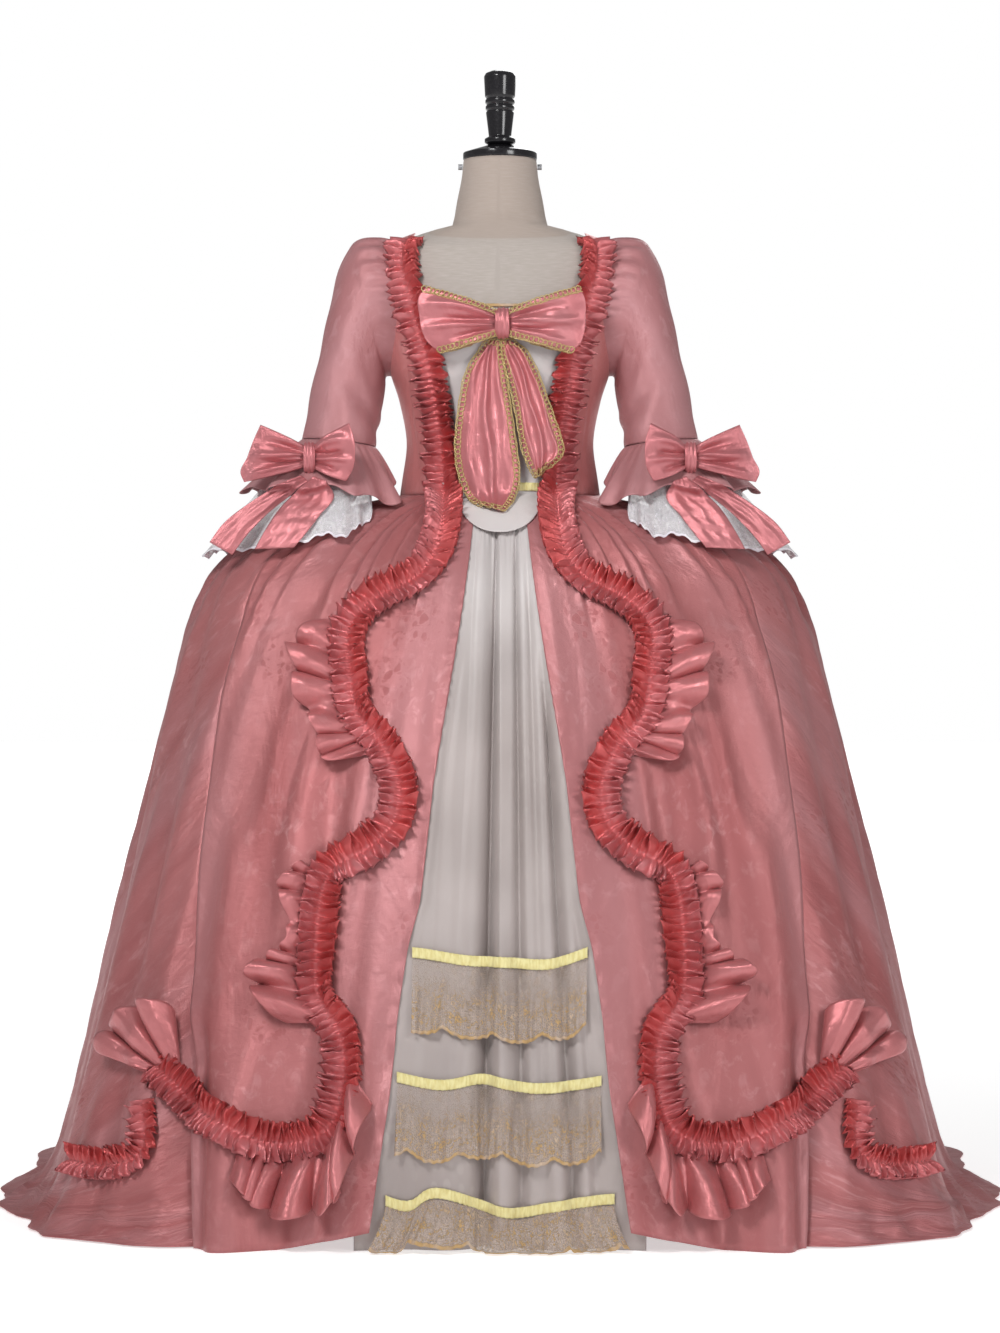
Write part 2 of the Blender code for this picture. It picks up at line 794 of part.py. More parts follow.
def armhole_angle(height, back):
    """Where the bodice's edge meets the armhole at a height."""
    rise = (height - ARMHOLE_HEIGHT) / ARMHOLE_HALF_HEIGHT
    if abs(rise) >= 1:
        return 90.0
    depth = ARMHOLE_HALF_DEPTH * math.sqrt(1 - rise * rise)
    width, front, rear, square = read_table(BODICE, height)
    reach = rear if back else front
    across = width * (1 - min(depth / reach, 1.0) ** square) ** (1 / square)
    angle = math.degrees(math.atan2(across, depth))
    return 180 - angle if back else angle


def build_bodice():
    """Two front and two back panels, cut out at the armholes."""
    panels = {}
    for back in (False, True):
        grid = []
        for height in BODICE_LEVELS:
            outer_edge = armhole_angle(height, back)
            if back:
                distance = read_table(BACK_NECK, height)[0]
                inner_edge = angle_at(BODICE, height, distance, back=True)
                outer_edge = max(outer_edge, 90.2)
                if outer_edge > inner_edge - 2:
                    inner_edge = outer_edge + 2
            else:
                distance = read_table(BODICE_EDGE, height)[0]
                inner_edge = angle_at(BODICE, height, distance)
                outer_edge = min(outer_edge, 89.8)
                if outer_edge < inner_edge + 2:
                    inner_edge = outer_edge - 2
            angles = even_angles(BODICE, height, inner_edge, outer_edge, 7 if back else 5)
            grid.append([(angle, height) for angle in angles])
        name = "bodice_back" if back else "bodice_front"
        for side, mirror in (("_l", False), ("_r", True)):
            panels[name + side] = surface_wall(name + side, bodice_point, grid, PINK, mirror=mirror)
    return panels


def build_skirts():
    """Petticoat front, the two open overskirt panels and the train."""
    made = {}
    grid = []
    for height in SKIRT_LEVELS:
        edge = read_table(SKIRT_EDGE, height)[0]
        rise = HEM_RISE * max(0.0, 1 - height / HEM_BAND)
        start = angle_at(SKIRT, height, edge)
        after = angle_at(SKIRT, height, edge + OVERLAP)
        end = read_table(SIDE_SEAM, height)[0] - 0.05
        angles = [start] + list(np.linspace(after, end, 12))
        reach = [max(0.0, 1 - (angle - start) / HEM_RISE_DEGREES) for angle in angles]
        level = min(height, WAIST - GAP / 2)
        grid.append([(angle, level + rise * share) for angle, share in zip(angles, reach)])
    for side, mirror in (("_l", False), ("_r", True)):
        name = "overskirt" + side
        made[name] = surface_wall(name, skirt_point, grid, PINK, mirror=mirror)

    grid = []
    for height in SKIRT_LEVELS[:-1] + (WAIST - GAP / 2,):
        edge = read_table(SKIRT_EDGE, height)[0]
        half = [edge + OVERLAP] + list(np.linspace(edge, 0, 7))
        sink = -CLOTH - GAP - PETTICOAT_SINK * max(0.0, 1 - height / HEM_BAND)
        ease = min(1.0, (WAIST - height) * 3)
        row = []
        for side, distances in ((-1, half), (1, half[:-1][::-1])):
            for distance in distances:
                share = 1 - min(distance / edge, 1.0)
                pleat = PLEAT_DEPTH * math.sin(math.pi * share * PETTICOAT_PLEATS) ** 2 * ease
                row.append((side * angle_at(SKIRT, height, distance), height, sink - pleat))
        grid.append(row)
    made["petticoat"] = surface_wall("petticoat", skirt_point, grid, CREAM)

    train_levels = SKIRT_LEVELS[:2:-1]
    shares = np.linspace(0, 1, 14)
    outer = []
    inner = []
    floor_rows = ((0.140, 0.00), (0.070, 0.10), (0.030, 0.32), (0.010, 0.62), (0.0, 1.0))
    levels = [(level, 0.0) for level in train_levels] + list(floor_rows)
    for height, spread in levels:
        height = min(height, WAIST - GAP / 2)
        start = read_table(SIDE_SEAM, height)[0] + 0.05
        half = [start + (180 - start) * s for s in shares]
        angles = half + [360 - angle for angle in half[-2::-1]]
        outer_row = []
        inner_row = []
        for angle in angles:
            side = 180 - abs(angle - 180)
            share = max(0.0, (side - TRAIN_START) / (180 - TRAIN_START))
            run = TRAIN_RUN * share * spread * (1 + TRAIN_SWAY * math.sin(math.radians(side * 9)))
            lift = 0.0
            if 0.2 < spread < 1:
                lift = TRAIN_WAVE * spread * (1 + math.sin(math.radians(side * 14)))
            normal = surface_normal(skirt_point, angle, height)
            normal = (normal * (1 - spread) + Vector((0, 0, 1)) * spread).normalized()
            point = skirt_point(angle, height)
            flat = Vector((point.x, point.y, 0)).normalized()
            point = point + flat * run
            point.z = max(point.z, 0.0) + CLOTH * spread + lift
            under = point - normal * CLOTH
            outer_row.append(point)
            inner_row.append(under)
        outer.append(outer_row)
        inner.append(inner_row)
    made["train"] = wall("train", outer, inner, PINK)
    return made


def build_stomacher(skirts):
    """The front panel with its tab, the strip over its top and the ribbon across its tab."""
    under = tree_of(skirts["petticoat"], skirts["overskirt_l"], skirts["overskirt_r"])
    rows = []
    outs = []
    bands = list(TAB)
    for level in STOMACHER_LEVELS:
        bands.append((level, min(read_table(BODICE_EDGE, level)[0] - 0.0012, 0.1125)))
    for height, half in bands:
        surface = bodice_point if height >= WAIST else skirt_point
        row = []
        out = []
        for share in np.linspace(-1, 1, 7):
            distance = half * share
            table = BODICE if height >= WAIST else SKIRT
            angle = math.copysign(angle_at(table, height, abs(distance)), distance)
            normal = surface_normal(surface, angle, height)
            lift = -CLOTH if height > WAIST + 0.001 else GAP
            row.append(surface(angle, height) + normal * lift)
            out.append(normal)
        rows.append(row)
        outs.append(out)
    piece = laid_wall("stomacher", rows, outs, under, CREAM)[0]
    base = tree_of(piece)
    for name, heights, half, look in (
        ("neck_strip", (1.2195, 1.2235), 0.098, LACE_GOLD),
        ("tab_stripe", (0.972, 0.984), 0.048, YELLOW),
    ):
        grid = []
        outs = []
        for height in heights:
            row = []
            out = []
            for share in np.linspace(-1, 1, 9):
                distance = half * share
                angle = math.copysign(angle_at(BODICE, height, abs(distance)), distance)
                normal = surface_normal(bodice_point, angle, height)
                row.append(bodice_point(angle, height))
                out.append(normal)
            grid.append(row)
            outs.append(out)
        laid_wall(name, grid, outs, base, look, thick=TRIM_CLOTH)
    return piece


def build_sleeve(bodice):
    """A sleeve from its armhole to the elbow, both sides. Returns its last ring and the left one."""
    columns = 12
    base = tree_of(bodice["bodice_front_l"], bodice["bodice_back_l"])
    rings = []
    armhole = []
    for k in range(columns):
        turn = 2 * math.pi * k / columns
        height = ARMHOLE_HEIGHT + (ARMHOLE_HALF_HEIGHT + 0.008) * math.cos(turn)
        y = -(ARMHOLE_HALF_DEPTH + 0.002) * math.sin(turn)
        hit, _, _, _ = base.ray_cast(Vector((0.5, y * 1.05, height)), Vector((-1, 0, 0)))
        x = max(hit.x if hit else 0.150, 0.150) + 0.0035 + 0.008 * max(0.0, math.cos(turn))
        armhole.append(Vector((x, y, height)))
    rings.append(armhole)
    for outer_x, outer_z, inner_x, inner_z, depth, middle in SLEEVE:
        ring = []
        for k in range(columns):
            turn = 2 * math.pi * k / columns
            across = 0.5 + 0.5 * math.cos(turn)
            x = inner_x + (outer_x - inner_x) * across
            z = inner_z + (outer_z - inner_z) * across
            ring.append(Vector((x, middle - depth * math.sin(turn), z)))
        rings.append(ring)
    inner = inset_rings(rings, TRIM_CLOTH)
    left = wall("sleeve_l", rings, inner, PINK, loop=True)
    mirrored(left, "sleeve_r")
    return rings[-1], left


def inset_rings(rings, thick):
    """Each ring moved inward by the wall's thickness, towards its own middle."""
    inner = []
    for ring in rings:
        middle = sum(ring, Vector()) / len(ring)
        inner.append([p + (middle - p).normalized() * thick for p in ring])
    return inner


def build_cuffs(last_ring, skirts):
    """Pink and lace flounces below the sleeve."""
    tree = tree_of(skirts["overskirt_l"], skirts["train"])
    made = {}
    looks = (
        ("cuff_flounce", FLOUNCE_EDGE, PINK, 0.0, 0.004),
        ("cuff_lace", LACE_EDGE, LACE_WHITE, LACE_INSET, 0.003),
    )
    middle = sum(last_ring, Vector()) / len(last_ring)
    for name, edge, look, inset, wave in looks:
        rings = []
        for share in (0.0, 0.4, 1.0):
            ring = []
            for k in range(FLOUNCE_COLUMNS):
                direction = 360 * k / FLOUNCE_COLUMNS
                turn = math.radians(180 - direction)
                top = ring_place(last_ring, turn)
                top = top + (middle - top).normalized() * inset
                top.z -= 0.0008 + 0.4 * inset
                foot = smooth_closed(edge, direction)
                swing = wave * share * math.cos(math.radians(direction * FLOUNCE_WAVES))
                point = top + (foot - top) * share
                hollow = FLOUNCE_HOLLOW * math.sin(math.pi * share)
                out = Vector((point.x - middle.x, point.y - middle.y, 0)).normalized()
                point = point + out * (swing - hollow)
                hit, _, _, _ = tree.ray_cast(Vector((point.x, point.y, 1.2)), Vector((0, 0, -1)))
                if hit is not None:
                    floor = hit.z + (SKIRT_CLEAR if inset else 2 * SKIRT_CLEAR)
                    point.z = max(point.z, floor)
                ring.append(point)
            rings.append(ring)
        inner = inset_rings(rings, TRIM_CLOTH)
        made[name] = wall(name + "_l", rings, inner, look, loop=True)
        mirrored(made[name], name + "_r")
    return made


def ring_place(ring, turn):
    """A point of the sleeve's last ring, at a turn from its outer side towards the front."""
    place = (turn % (2 * math.pi)) / (2 * math.pi) * len(ring)
    low = int(place) % len(ring)
    share = place - int(place)
    return ring[low] + (ring[(low + 1) % len(ring)] - ring[low]) * share


def bow_loops(name, middle, reach, tall, puff, tilts):
    """Two loops of one closed band, pinched at the knot."""
    columns = 16
    ring = []
    for k in range(columns):
        turn = 2 * math.pi * k / columns
        x = math.cos(turn)
        ring.append((x, math.sin(turn)))
    shares = (-1.0, 0.0, 1.0)
    outer = []
    inner = []
    for share in shares:
        outer_row = []
        inner_row = []
        for x, y in ring:
            far = abs(x)
            side_reach = reach[0] if x < 0 else reach[1]
            height = BOW_PINCH + (tall - BOW_PINCH) * far ** 0.8
            swell = BOW_THIN + BOW_TIP * far + puff * max(0.0, math.sin(math.pi * far)) ** 1.2
            hollow = 0.75 if share == 0 and far > 0.2 else 1.0
            open_out = math.copysign(abs(y) ** BOW_BLUNT, y)
            tilt = tilts[0] if x < 0 else tilts[1]
            ahead = Vector((math.copysign(1, x), -tilt * BOW_CURL * far ** (BOW_CURL - 1), 0)).normalized()
            aside = Vector((-ahead.y, ahead.x, 0)) * math.copysign(1, x)
            place = Vector((x * side_reach, -tilt * far ** BOW_CURL * side_reach, share * height * 0.5))
            place += aside * open_out * swell * hollow
            normal = ahead
            if abs(y) > 0.01:
                normal = (ahead * far * 0.3 + aside * math.copysign(1, y)).normalized()
            outer_row.append(middle + place)
            inner_row.append(middle + place - normal * TRIM_CLOTH)
        outer.append(outer_row)
        inner.append(inner_row)
    return wall(name, outer, inner, PINK, loop=True)


def knot(name, middle, size):
    """A band wrapped round the middle of a bow."""
    width, depth, tall = size
    columns = 12
    outer = []
    inner = []
    for side in (-1, 0, 1):
        bulge = 1.0 if side else 1.12
        outer_row = []
        inner_row = []
        for k in range(columns):
            turn = 2 * math.pi * k / columns
            way = Vector((0, math.cos(turn), math.sin(turn)))
            shape = Vector((side * width / 2, way.y * depth * bulge, way.z * tall * bulge))
            outer_row.append(middle + shape)
            inner_row.append(middle + shape - way * TRIM_CLOTH)
        outer.append(outer_row)
        inner.append(inner_row)
    return wall(name, outer, inner, PINK, loop=True)


def strip(name, rows, tree):
    """A hanging strip from rows of two edge points, creased down its middle."""
    front = Vector((0, -1, 0))
    grid = [[a, (a + b) / 2 + front * STRIP_CREASE, b] for a, b in rows]
    ways = [[front] * 3 for _ in grid]
    return laid_wall(name, grid, ways, tree, PINK, thick=TRIM_CLOTH)[0]


def build_main_bow(stomacher, others):
    """The bow on the stomacher: loops, knot and two tails."""
    base = tree_of(stomacher)
    hit, _, _, _ = base.ray_cast(Vector((BOW_X, -0.5, BOW_Z)), Vector((0, 1, 0)))
    middle = Vector((BOW_X, hit.y - BOW_OUT, BOW_Z))
    knot("bow_knot", middle, BOW_KNOT)
    bow_loops("bow_loops", middle, BOW_REACH, BOW_TALL, BOW_PUFF, BOW_TILTS)
    base = tree_of(stomacher, *others)
    for name, table in (("bow_tail_r", BOW_TAIL_R), ("bow_tail_l", BOW_TAIL_L)):
        rows = []
        for k, (height, one, other) in enumerate(table):
            y = hit.y - 0.002 * k
            rows.append((Vector((one, y, height)), Vector((other, y, height))))
        strip(name, rows, base)


def build_cuff_bow(sleeve, flounces):
    """The bow on the sleeve's end: loops, knot and two tails, both sides."""
    base = tree_of(sleeve, flounces["cuff_flounce"])
    backward = Vector((0, 1, 0))
    levels = (CUFF_BOW_Z - 0.018, CUFF_BOW_Z, CUFF_BOW_Z + 0.014)
    ahead = min(base.ray_cast(Vector((CUFF_BOW_X, -0.5, z)), backward)[0].y for z in levels)
    middle = Vector((CUFF_BOW_X, ahead - CUFF_BOW_OUT, CUFF_BOW_Z))
    made = [knot("cuff_knot_l", middle, CUFF_KNOT)]
    shape = (CUFF_BOW_REACH, CUFF_BOW_TALL, CUFF_BOW_PUFF, CUFF_BOW_TILTS)
    made.append(bow_loops("cuff_bow_l", middle, *shape))
    everything = tree_of(sleeve, *flounces.values())
    for name, table in (("cuff_tail_out_l", CUFF_TAIL_OUT), ("cuff_tail_in_l", CUFF_TAIL_IN)):
        rows = []
        for one_x, one_z, other_x, other_z, y in table:
            rows.append((Vector((one_x, y, one_z)), Vector((other_x, y, other_z))))
        made.append(strip(name, rows, everything))
    for thing in made:
        mirrored(thing, thing.name[:-1] + "r")


def band_on(tree, path, width, step, rise):
    """Rows of a band along a path of the front drawing, with its edges standing out."""
    places = smooth_path(path, step * 1000)
    centres = []
    normals = []
    for _, place in places:
        around = ((0, 0), (-9, 0), (9, 0), (0, 9), (0, -9))
        samples = [lay(tree, place.x + dx, place.y + dz) for dx, dz in around]
        centres.append(samples[0][0])
        normals.append(sum((n for _, n in samples if n is not None), Vector()).normalized())
    grid = []
    ways = []
    for k, (centre, normal) in enumerate(zip(centres, normals)):
        along = centres[min(k + 1, len(centres) - 1)] - centres[max(k - 1, 0)]
        across = along.cross(normal).normalized()
        row = []
        for share in (-1, 0, 1):
            lift = abs(share) * rise * (1 + FRILL_UNEVEN * (-1) ** k)
            row.append(centre + across * share * width / 2 + normal * lift)
        grid.append(row)
        ways.append([normal] * 3)
    return grid, ways, [station for station, _ in places]


def fan_rows(tree, outline, ruffle):
    """Rows of a pleated fan from the ruffle's side to its outline."""
    grid, ways, stations = ruffle
    ends = []
    for station, x, height in outline:
        k = int(np.argmin([abs(s - station) for s in stations]))
        axes = [[row[1][axis] for row in grid] for axis in range(3)]
        centre = Vector([float(np.interp(station, stations, values)) for values in axes])
        outer, normal = lay(tree, x, height) if height > -2 else (None, None)
        if outer is None:
            outer, normal = lay(tree, x, 22)
            outer = Vector((outer.x, outer.y - 0.004, max(0.004, outer.z + (height - 22) / 1000)))
        side = outer - centre
        side = (side - ways[k][1] * side.dot(ways[k][1])).normalized()
        inner = centre + side * (RUFFLE_WIDTH / 2 + FAN_CLEAR)
        if (outer - inner).dot(side) < FAN_LEAST:
            outer = inner + side * FAN_LEAST
        ends.append((inner, outer, normal))
    rows = []
    outs = []
    for k in range(2 * len(ends) - 1):
        low = ends[k // 2]
        high = ends[(k + 1) // 2]
        inner = (low[0] + high[0]) / 2
        outer = (low[1] + high[1]) / 2
        normal = (low[2] + high[2]).normalized()
        crest = 1.0 if k % 2 == 0 else 0.0
        row = []
        for share in (0.0, 0.5, 1.0):
            lift = 0.001 + share * (FAN_RISE + FAN_CREST * crest)
            row.append(inner + (outer - inner) * share + normal * lift)
        rows.append(row)
        outs.append([normal] * 3)
    return rows, outs


def build_trims(skirts, bodice, stomacher, torso):
    """Ruffles, fans, ribbons and lace tiers, each laid on the cloth that carries it."""
    skirt_tree = tree_of(skirts["overskirt_l"], skirts["train"])
    body_tree = tree_of(torso, bodice["bodice_front_l"], stomacher, skirts["overskirt_l"])

    grid, ways, _ = band_on(body_tree, BODY_RUFFLE, RUFFLE_WIDTH, RUFFLE_STEP, FRILL_RISE)
    made = laid_wall("ruffle_body", grid, ways, body_tree, DEEP_PINK, mirror=True)

    ruffle = band_on(skirt_tree, SKIRT_RUFFLE, RUFFLE_WIDTH, RUFFLE_STEP, FRILL_RISE)
    laid_wall("ruffle_skirt", ruffle[0], ruffle[1], skirt_tree, DEEP_PINK, mirror=True)

    side = band_on(skirt_tree, TRAIN_RUFFLE, RUFFLE_WIDTH * 0.8, RUFFLE_STEP * 0.6, FRILL_RISE * 0.8)
    laid_wall("ruffle_train", side[0], side[1], skirt_tree, DEEP_PINK, mirror=True)

    for name, outline in (("fan_upper", FAN_UPPER), ("fan_middle", FAN_MIDDLE), ("fan_lower", FAN_LOWER)):
        rows, outs = fan_rows(skirt_tree, outline, ruffle)
        laid_wall(name, rows, outs, skirt_tree, PINK, mirror=True)
    rows = []
    outs = []
    for k in range(2 * len(FAN_SIDE) - 1):
        low = FAN_SIDE[k // 2]
        high = FAN_SIDE[(k + 1) // 2]
        mean = [(a + b) / 2 for a, b in zip(low, high)]
        inner, normal = lay(skirt_tree, mean[0], mean[1])
        outer, _ = lay(skirt_tree, mean[2], mean[3])
        crest = 1.0 if k % 2 == 0 else 0.0
        row = []
        for share in (0.0, 0.5, 1.0):
            lift = 0.001 + share * (FAN_RISE + FAN_CREST * crest)
            row.append(inner + (outer - inner) * share + normal * lift)
        rows.append(row)
        outs.append([normal] * 3)
    laid_wall("fan_side", rows, outs, skirt_tree, PINK, mirror=True)

    front = tree_of(skirts["petticoat"])
    for ribbon, tier in zip(RIBBONS, LACE_TIERS):
        build_tier(front, ribbon, tier)
    return made


def build_tier(tree, ribbon, tier):
    """A ribbon across the petticoat and the lace that hangs under it."""
    drop, stand_out = LACE_TIERS[tier]
    places = smooth_path(RIBBONS[ribbon], RIBBON_STEP)
    grid = []
    ways = []
    lace = []
    lace_ways = []
    for k, (_, place) in enumerate(places):
        centre, normal = lay(tree, place.x, place.y)
        normal = Vector((normal.x * 0.4, normal.y, 0)).normalized()
        up = Vector((0, 0, 1))
        grid.append([centre + up * RIBBON_WIDTH / 2, centre - up * RIBBON_WIDTH / 2])
        ways.append([normal] * 2)
        wave = 0.003 * math.cos(k * math.pi / 2)
        row = []
        for share in (0.0, 0.5, 1.0):
            height = centre.z - RIBBON_WIDTH / 2 - 0.001 - drop * share
            point = Vector((centre.x * (1 + 0.04 * share), centre.y, max(height, 0.0)))
            point += normal * share * (stand_out + wave + 0.19 * drop)
            row.append(point)
        lace.append(row)
        lace_ways.append([normal] * 3)
    laid_wall(ribbon, grid, ways, tree, YELLOW, thick=TRIM_CLOTH)
    laid_wall(tier, lace, lace_ways, tree, LACE_GOLD, thick=TRIM_CLOTH)


def main():
    """Builds the whole part."""
    for thing in list(bpy.data.objects):
        bpy.data.objects.remove(thing, do_unlink=True)
    torso = build_stand()
    bodice = build_bodice()
    skirts = build_skirts()
    stomacher = build_stomacher(skirts)
    last_ring, sleeve = build_sleeve(bodice)
    flounces = build_cuffs(last_ring, skirts)
    ruffles = build_trims(skirts, bodice, stomacher, torso)
    build_main_bow(stomacher, ruffles)
    build_cuff_bow(sleeve, flounces)


main()
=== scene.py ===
"""Looks of the ball gown on its limbless dress form.

Metres, Z up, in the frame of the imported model. The front faces -Y, and the wearer's
left is at +X. Tables of sizes are those of the part. A grid is an array of points in
rows and columns, and a look is a material with the name of its slot.
"""

import math

import bpy
import numpy as np
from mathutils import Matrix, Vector
from mathutils.bvhtree import BVHTree

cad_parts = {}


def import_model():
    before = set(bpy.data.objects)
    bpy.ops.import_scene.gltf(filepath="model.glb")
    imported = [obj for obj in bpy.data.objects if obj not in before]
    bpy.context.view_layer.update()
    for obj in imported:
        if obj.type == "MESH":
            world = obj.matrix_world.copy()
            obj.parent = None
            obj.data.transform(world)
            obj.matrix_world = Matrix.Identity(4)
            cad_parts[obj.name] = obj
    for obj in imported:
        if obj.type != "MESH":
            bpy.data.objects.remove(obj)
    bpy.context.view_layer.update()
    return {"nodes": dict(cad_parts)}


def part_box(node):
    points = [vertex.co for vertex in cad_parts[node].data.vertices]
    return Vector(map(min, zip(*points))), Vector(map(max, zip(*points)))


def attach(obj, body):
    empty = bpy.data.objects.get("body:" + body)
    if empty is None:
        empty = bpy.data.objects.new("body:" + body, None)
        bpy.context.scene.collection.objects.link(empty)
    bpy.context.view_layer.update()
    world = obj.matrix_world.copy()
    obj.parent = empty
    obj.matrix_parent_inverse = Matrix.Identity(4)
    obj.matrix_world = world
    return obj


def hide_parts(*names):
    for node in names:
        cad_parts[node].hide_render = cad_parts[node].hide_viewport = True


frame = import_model()

WAIST = 0.969
SKIRT_TOP = WAIST - 0.0003
TOTAL_HEIGHT = 1.5556
FORM_INSET = 0.0051
RUFFLE_SPLIT = 0.957
OVERLAP = 0.030
SEAM_LAP = 0.35
NECK_SLOPE = 0.33
NECK_SEAM = 1.337
IN_FRONT = -0.7
EYE = Vector((0.0, -5.0, 0.736))
LENS = 98.2
SENSOR = 36.0

# Points of the grids: rows and columns
FORM_GRID = (80, 96)
BODICE_GRID = (80, 34)
OVERSKIRT_GRID = (122, 92)
PETTICOAT_GRID = (96, 84)
TRAIN_GRID = (138, 104)
SLEEVE_GRID = (72, 104)
CUFF_POINTS = 168
LOOP_GRID = (27, 136)
KNOT_GRID = (17, 56)
BOW_TAIL_GRID = (84, 35)
CUFF_TAIL_GRID = (50, 23)

# Thickness of the cloths
SATIN_THICK = 0.0012
BOW_THICK = 0.0009
KNOT_THICK = 0.0010
TRIM_THICK = 0.0008

# Skirt rings. Columns: height, half width, front depth, back depth, squareness
SKIRT = (
    (0, 0.602, 0.45, 0.64, 3.4), (0.03, 0.6, 0.447, 0.61, 3.3), (0.08, 0.591, 0.438, 0.575, 3.2),
    (0.14, 0.579, 0.427, 0.535, 3.1), (0.222, 0.56, 0.408, 0.49, 3),
    (0.305, 0.542, 0.39, 0.455, 2.9), (0.387, 0.525, 0.373, 0.425, 2.8),
    (0.47, 0.506, 0.355, 0.395, 2.7), (0.552, 0.486, 0.335, 0.365, 2.65),
    (0.635, 0.469, 0.312, 0.335, 2.6), (0.717, 0.449, 0.284, 0.3, 2.55),
    (0.8, 0.423, 0.25, 0.262, 2.5), (0.867, 0.389, 0.215, 0.225, 2.45),
    (0.9, 0.35, 0.19, 0.198, 2.4), (0.93, 0.29, 0.161, 0.168, 2.3),
    (0.955, 0.2, 0.128, 0.132, 2.2), (WAIST, 0.138, 0.105, 0.105, 2.1),
)
# Bodice rings, on the outside of the cloth, and neck rings of the form. Columns as above
BODICE = (
    (0.86, 0.15, 0.108, 0.108, 2.1), (WAIST, 0.138, 0.105, 0.105, 2.1),
    (0.989, 0.136, 0.102, 0.101, 2.1), (1.046, 0.129, 0.098, 0.094, 2.1),
    (1.1, 0.139, 0.108, 0.094, 2.1), (1.142, 0.152, 0.118, 0.096, 2.2),
    (1.19, 0.155, 0.12, 0.097, 2.2), (1.236, 0.155, 0.112, 0.097, 2.3),
    (1.275, 0.161, 0.092, 0.092, 2.4), (1.3, 0.168, 0.077, 0.083, 2.3),
    (1.314, 0.168, 0.068, 0.074, 2.2), (1.327, 0.131, 0.062, 0.066, 2.1),
    (1.339, 0.096, 0.06, 0.064, 2), (1.346, 0.067, 0.06, 0.064, 2),
)
NECK = (
    (1.354, 0.0625, 0.058, 0.061, 2), (1.373, 0.0594, 0.056, 0.058, 2),
    (1.408, 0.0526, 0.052, 0.053, 2), (1.432, 0.05, 0.05, 0.05, 2),
)
# Large folds of the skirt. Columns: angle at the hip, angle at the hem, height of
# the cloth there (troughs below nought), half width in degrees at hip and hem,
# lowest and highest level
FOLDS = (
    (63, 43, -0.02, 2.5, 2.2, 0, 0.3), (60, 39, 0.01, 3, 3, 0, 0.6),
    (40, 28, -0.007, 3, 2.5, 0.05, 0.8), (50, 34, -0.006, 3, 2.2, 0, 0.55),
    (76, 56, -0.014, 3.5, 3, 0.03, 0.85), (88, 72, -0.01, 3.5, 3, 0.03, 0.8),
    (38, 33, 0.006, 4, 3, 0.8, 0.955), (52, 46, -0.007, 4, 3, 0.78, 0.95),
    (66, 62, 0.006, 4, 3, 0.78, 0.95), (82, 80, -0.007, 4, 3, 0.78, 0.95),
    (104, 98, 0.01, 4, 4, 0.03, 0.93), (118, 112, -0.016, 4, 3.5, 0.03, 0.95),
    (134, 130, 0.014, 4, 4, 0.03, 0.95), (150, 148, -0.018, 4, 3.5, 0.03, 0.95),
    (165, 165, 0.014, 4, 4, 0.03, 0.95),
)
# Front edge of the open overskirt. Columns: height, distance from the middle
SKIRT_EDGE = (
    (0, 0.166), (0.029, 0.163), (0.143, 0.153), (0.285, 0.136), (0.375, 0.1195), (0.438, 0.102),
    (0.586, 0.0855), (0.744, 0.06), (0.816, 0.049), (0.877, 0.041), (0.93, 0.035), (WAIST, 0.034),
)
# Seam between overskirt and train. Columns: height, angle
SIDE_SEAM = (
    (0, 43.5), (0.2, 48), (0.5, 55), (0.8, 62), (WAIST, 66),
)
# The train's cloth from the waist down and out along the floor. Columns: height, and a
# quarter of the share of the run along the floor
TRAIN_LINE = (
    (SKIRT_TOP, 0), (0.95, 0), (0.915, 0), (0.867, 0), (0.8, 0), (0.68, 0), (0.52, 0),
    (0.36, 0), (0.222, 0), (0.14, 0), (0.07, 0.025), (0.03, 0.08), (0.01, 0.155), (0, 0.25),
)
# Front edge of the bodice, where it meets the stomacher. Columns: height, distance
BODICE_EDGE = (
    (WAIST, 0.0765), (1.038, 0.076), (1.083, 0.083), (1.146, 0.091), (1.21, 0.113),
    (1.227, 0.1165), (1.3, 0.121), (1.327, 0.1175), (1.331, 0.1165),
)
# Back neckline. Columns: height, distance from the middle of the back
BACK_NECK = (
    (1.285, 0.0005), (1.3, 0.08), (1.314, 0.105), (1.327, 0.115), (1.331, 0.1165),
)
# Armhole, an upright oval on the side of the bodice
ARMHOLE_HEIGHT = 1.2285
ARMHOLE_HALF_HEIGHT = 0.0875
ARMHOLE_HALF_DEPTH = 0.056

# Sleeve rings. Columns: outer x and height, inner x and height, half depth, middle y
SLEEVE = (
    (0.19, 1.318, 0.1565, 1.134, 0.059, 0), (0.209, 1.307, 0.1575, 1.122, 0.059, 0),
    (0.225, 1.275, 0.159, 1.108, 0.058, -0.002), (0.236, 1.219, 0.1605, 1.092, 0.057, -0.008),
    (0.2485, 1.16, 0.1635, 1.076, 0.056, -0.018), (0.262, 1.1, 0.166, 1.058, 0.054, -0.03),
    (0.2715, 1.047, 0.1705, 1.036, 0.052, -0.042),
)
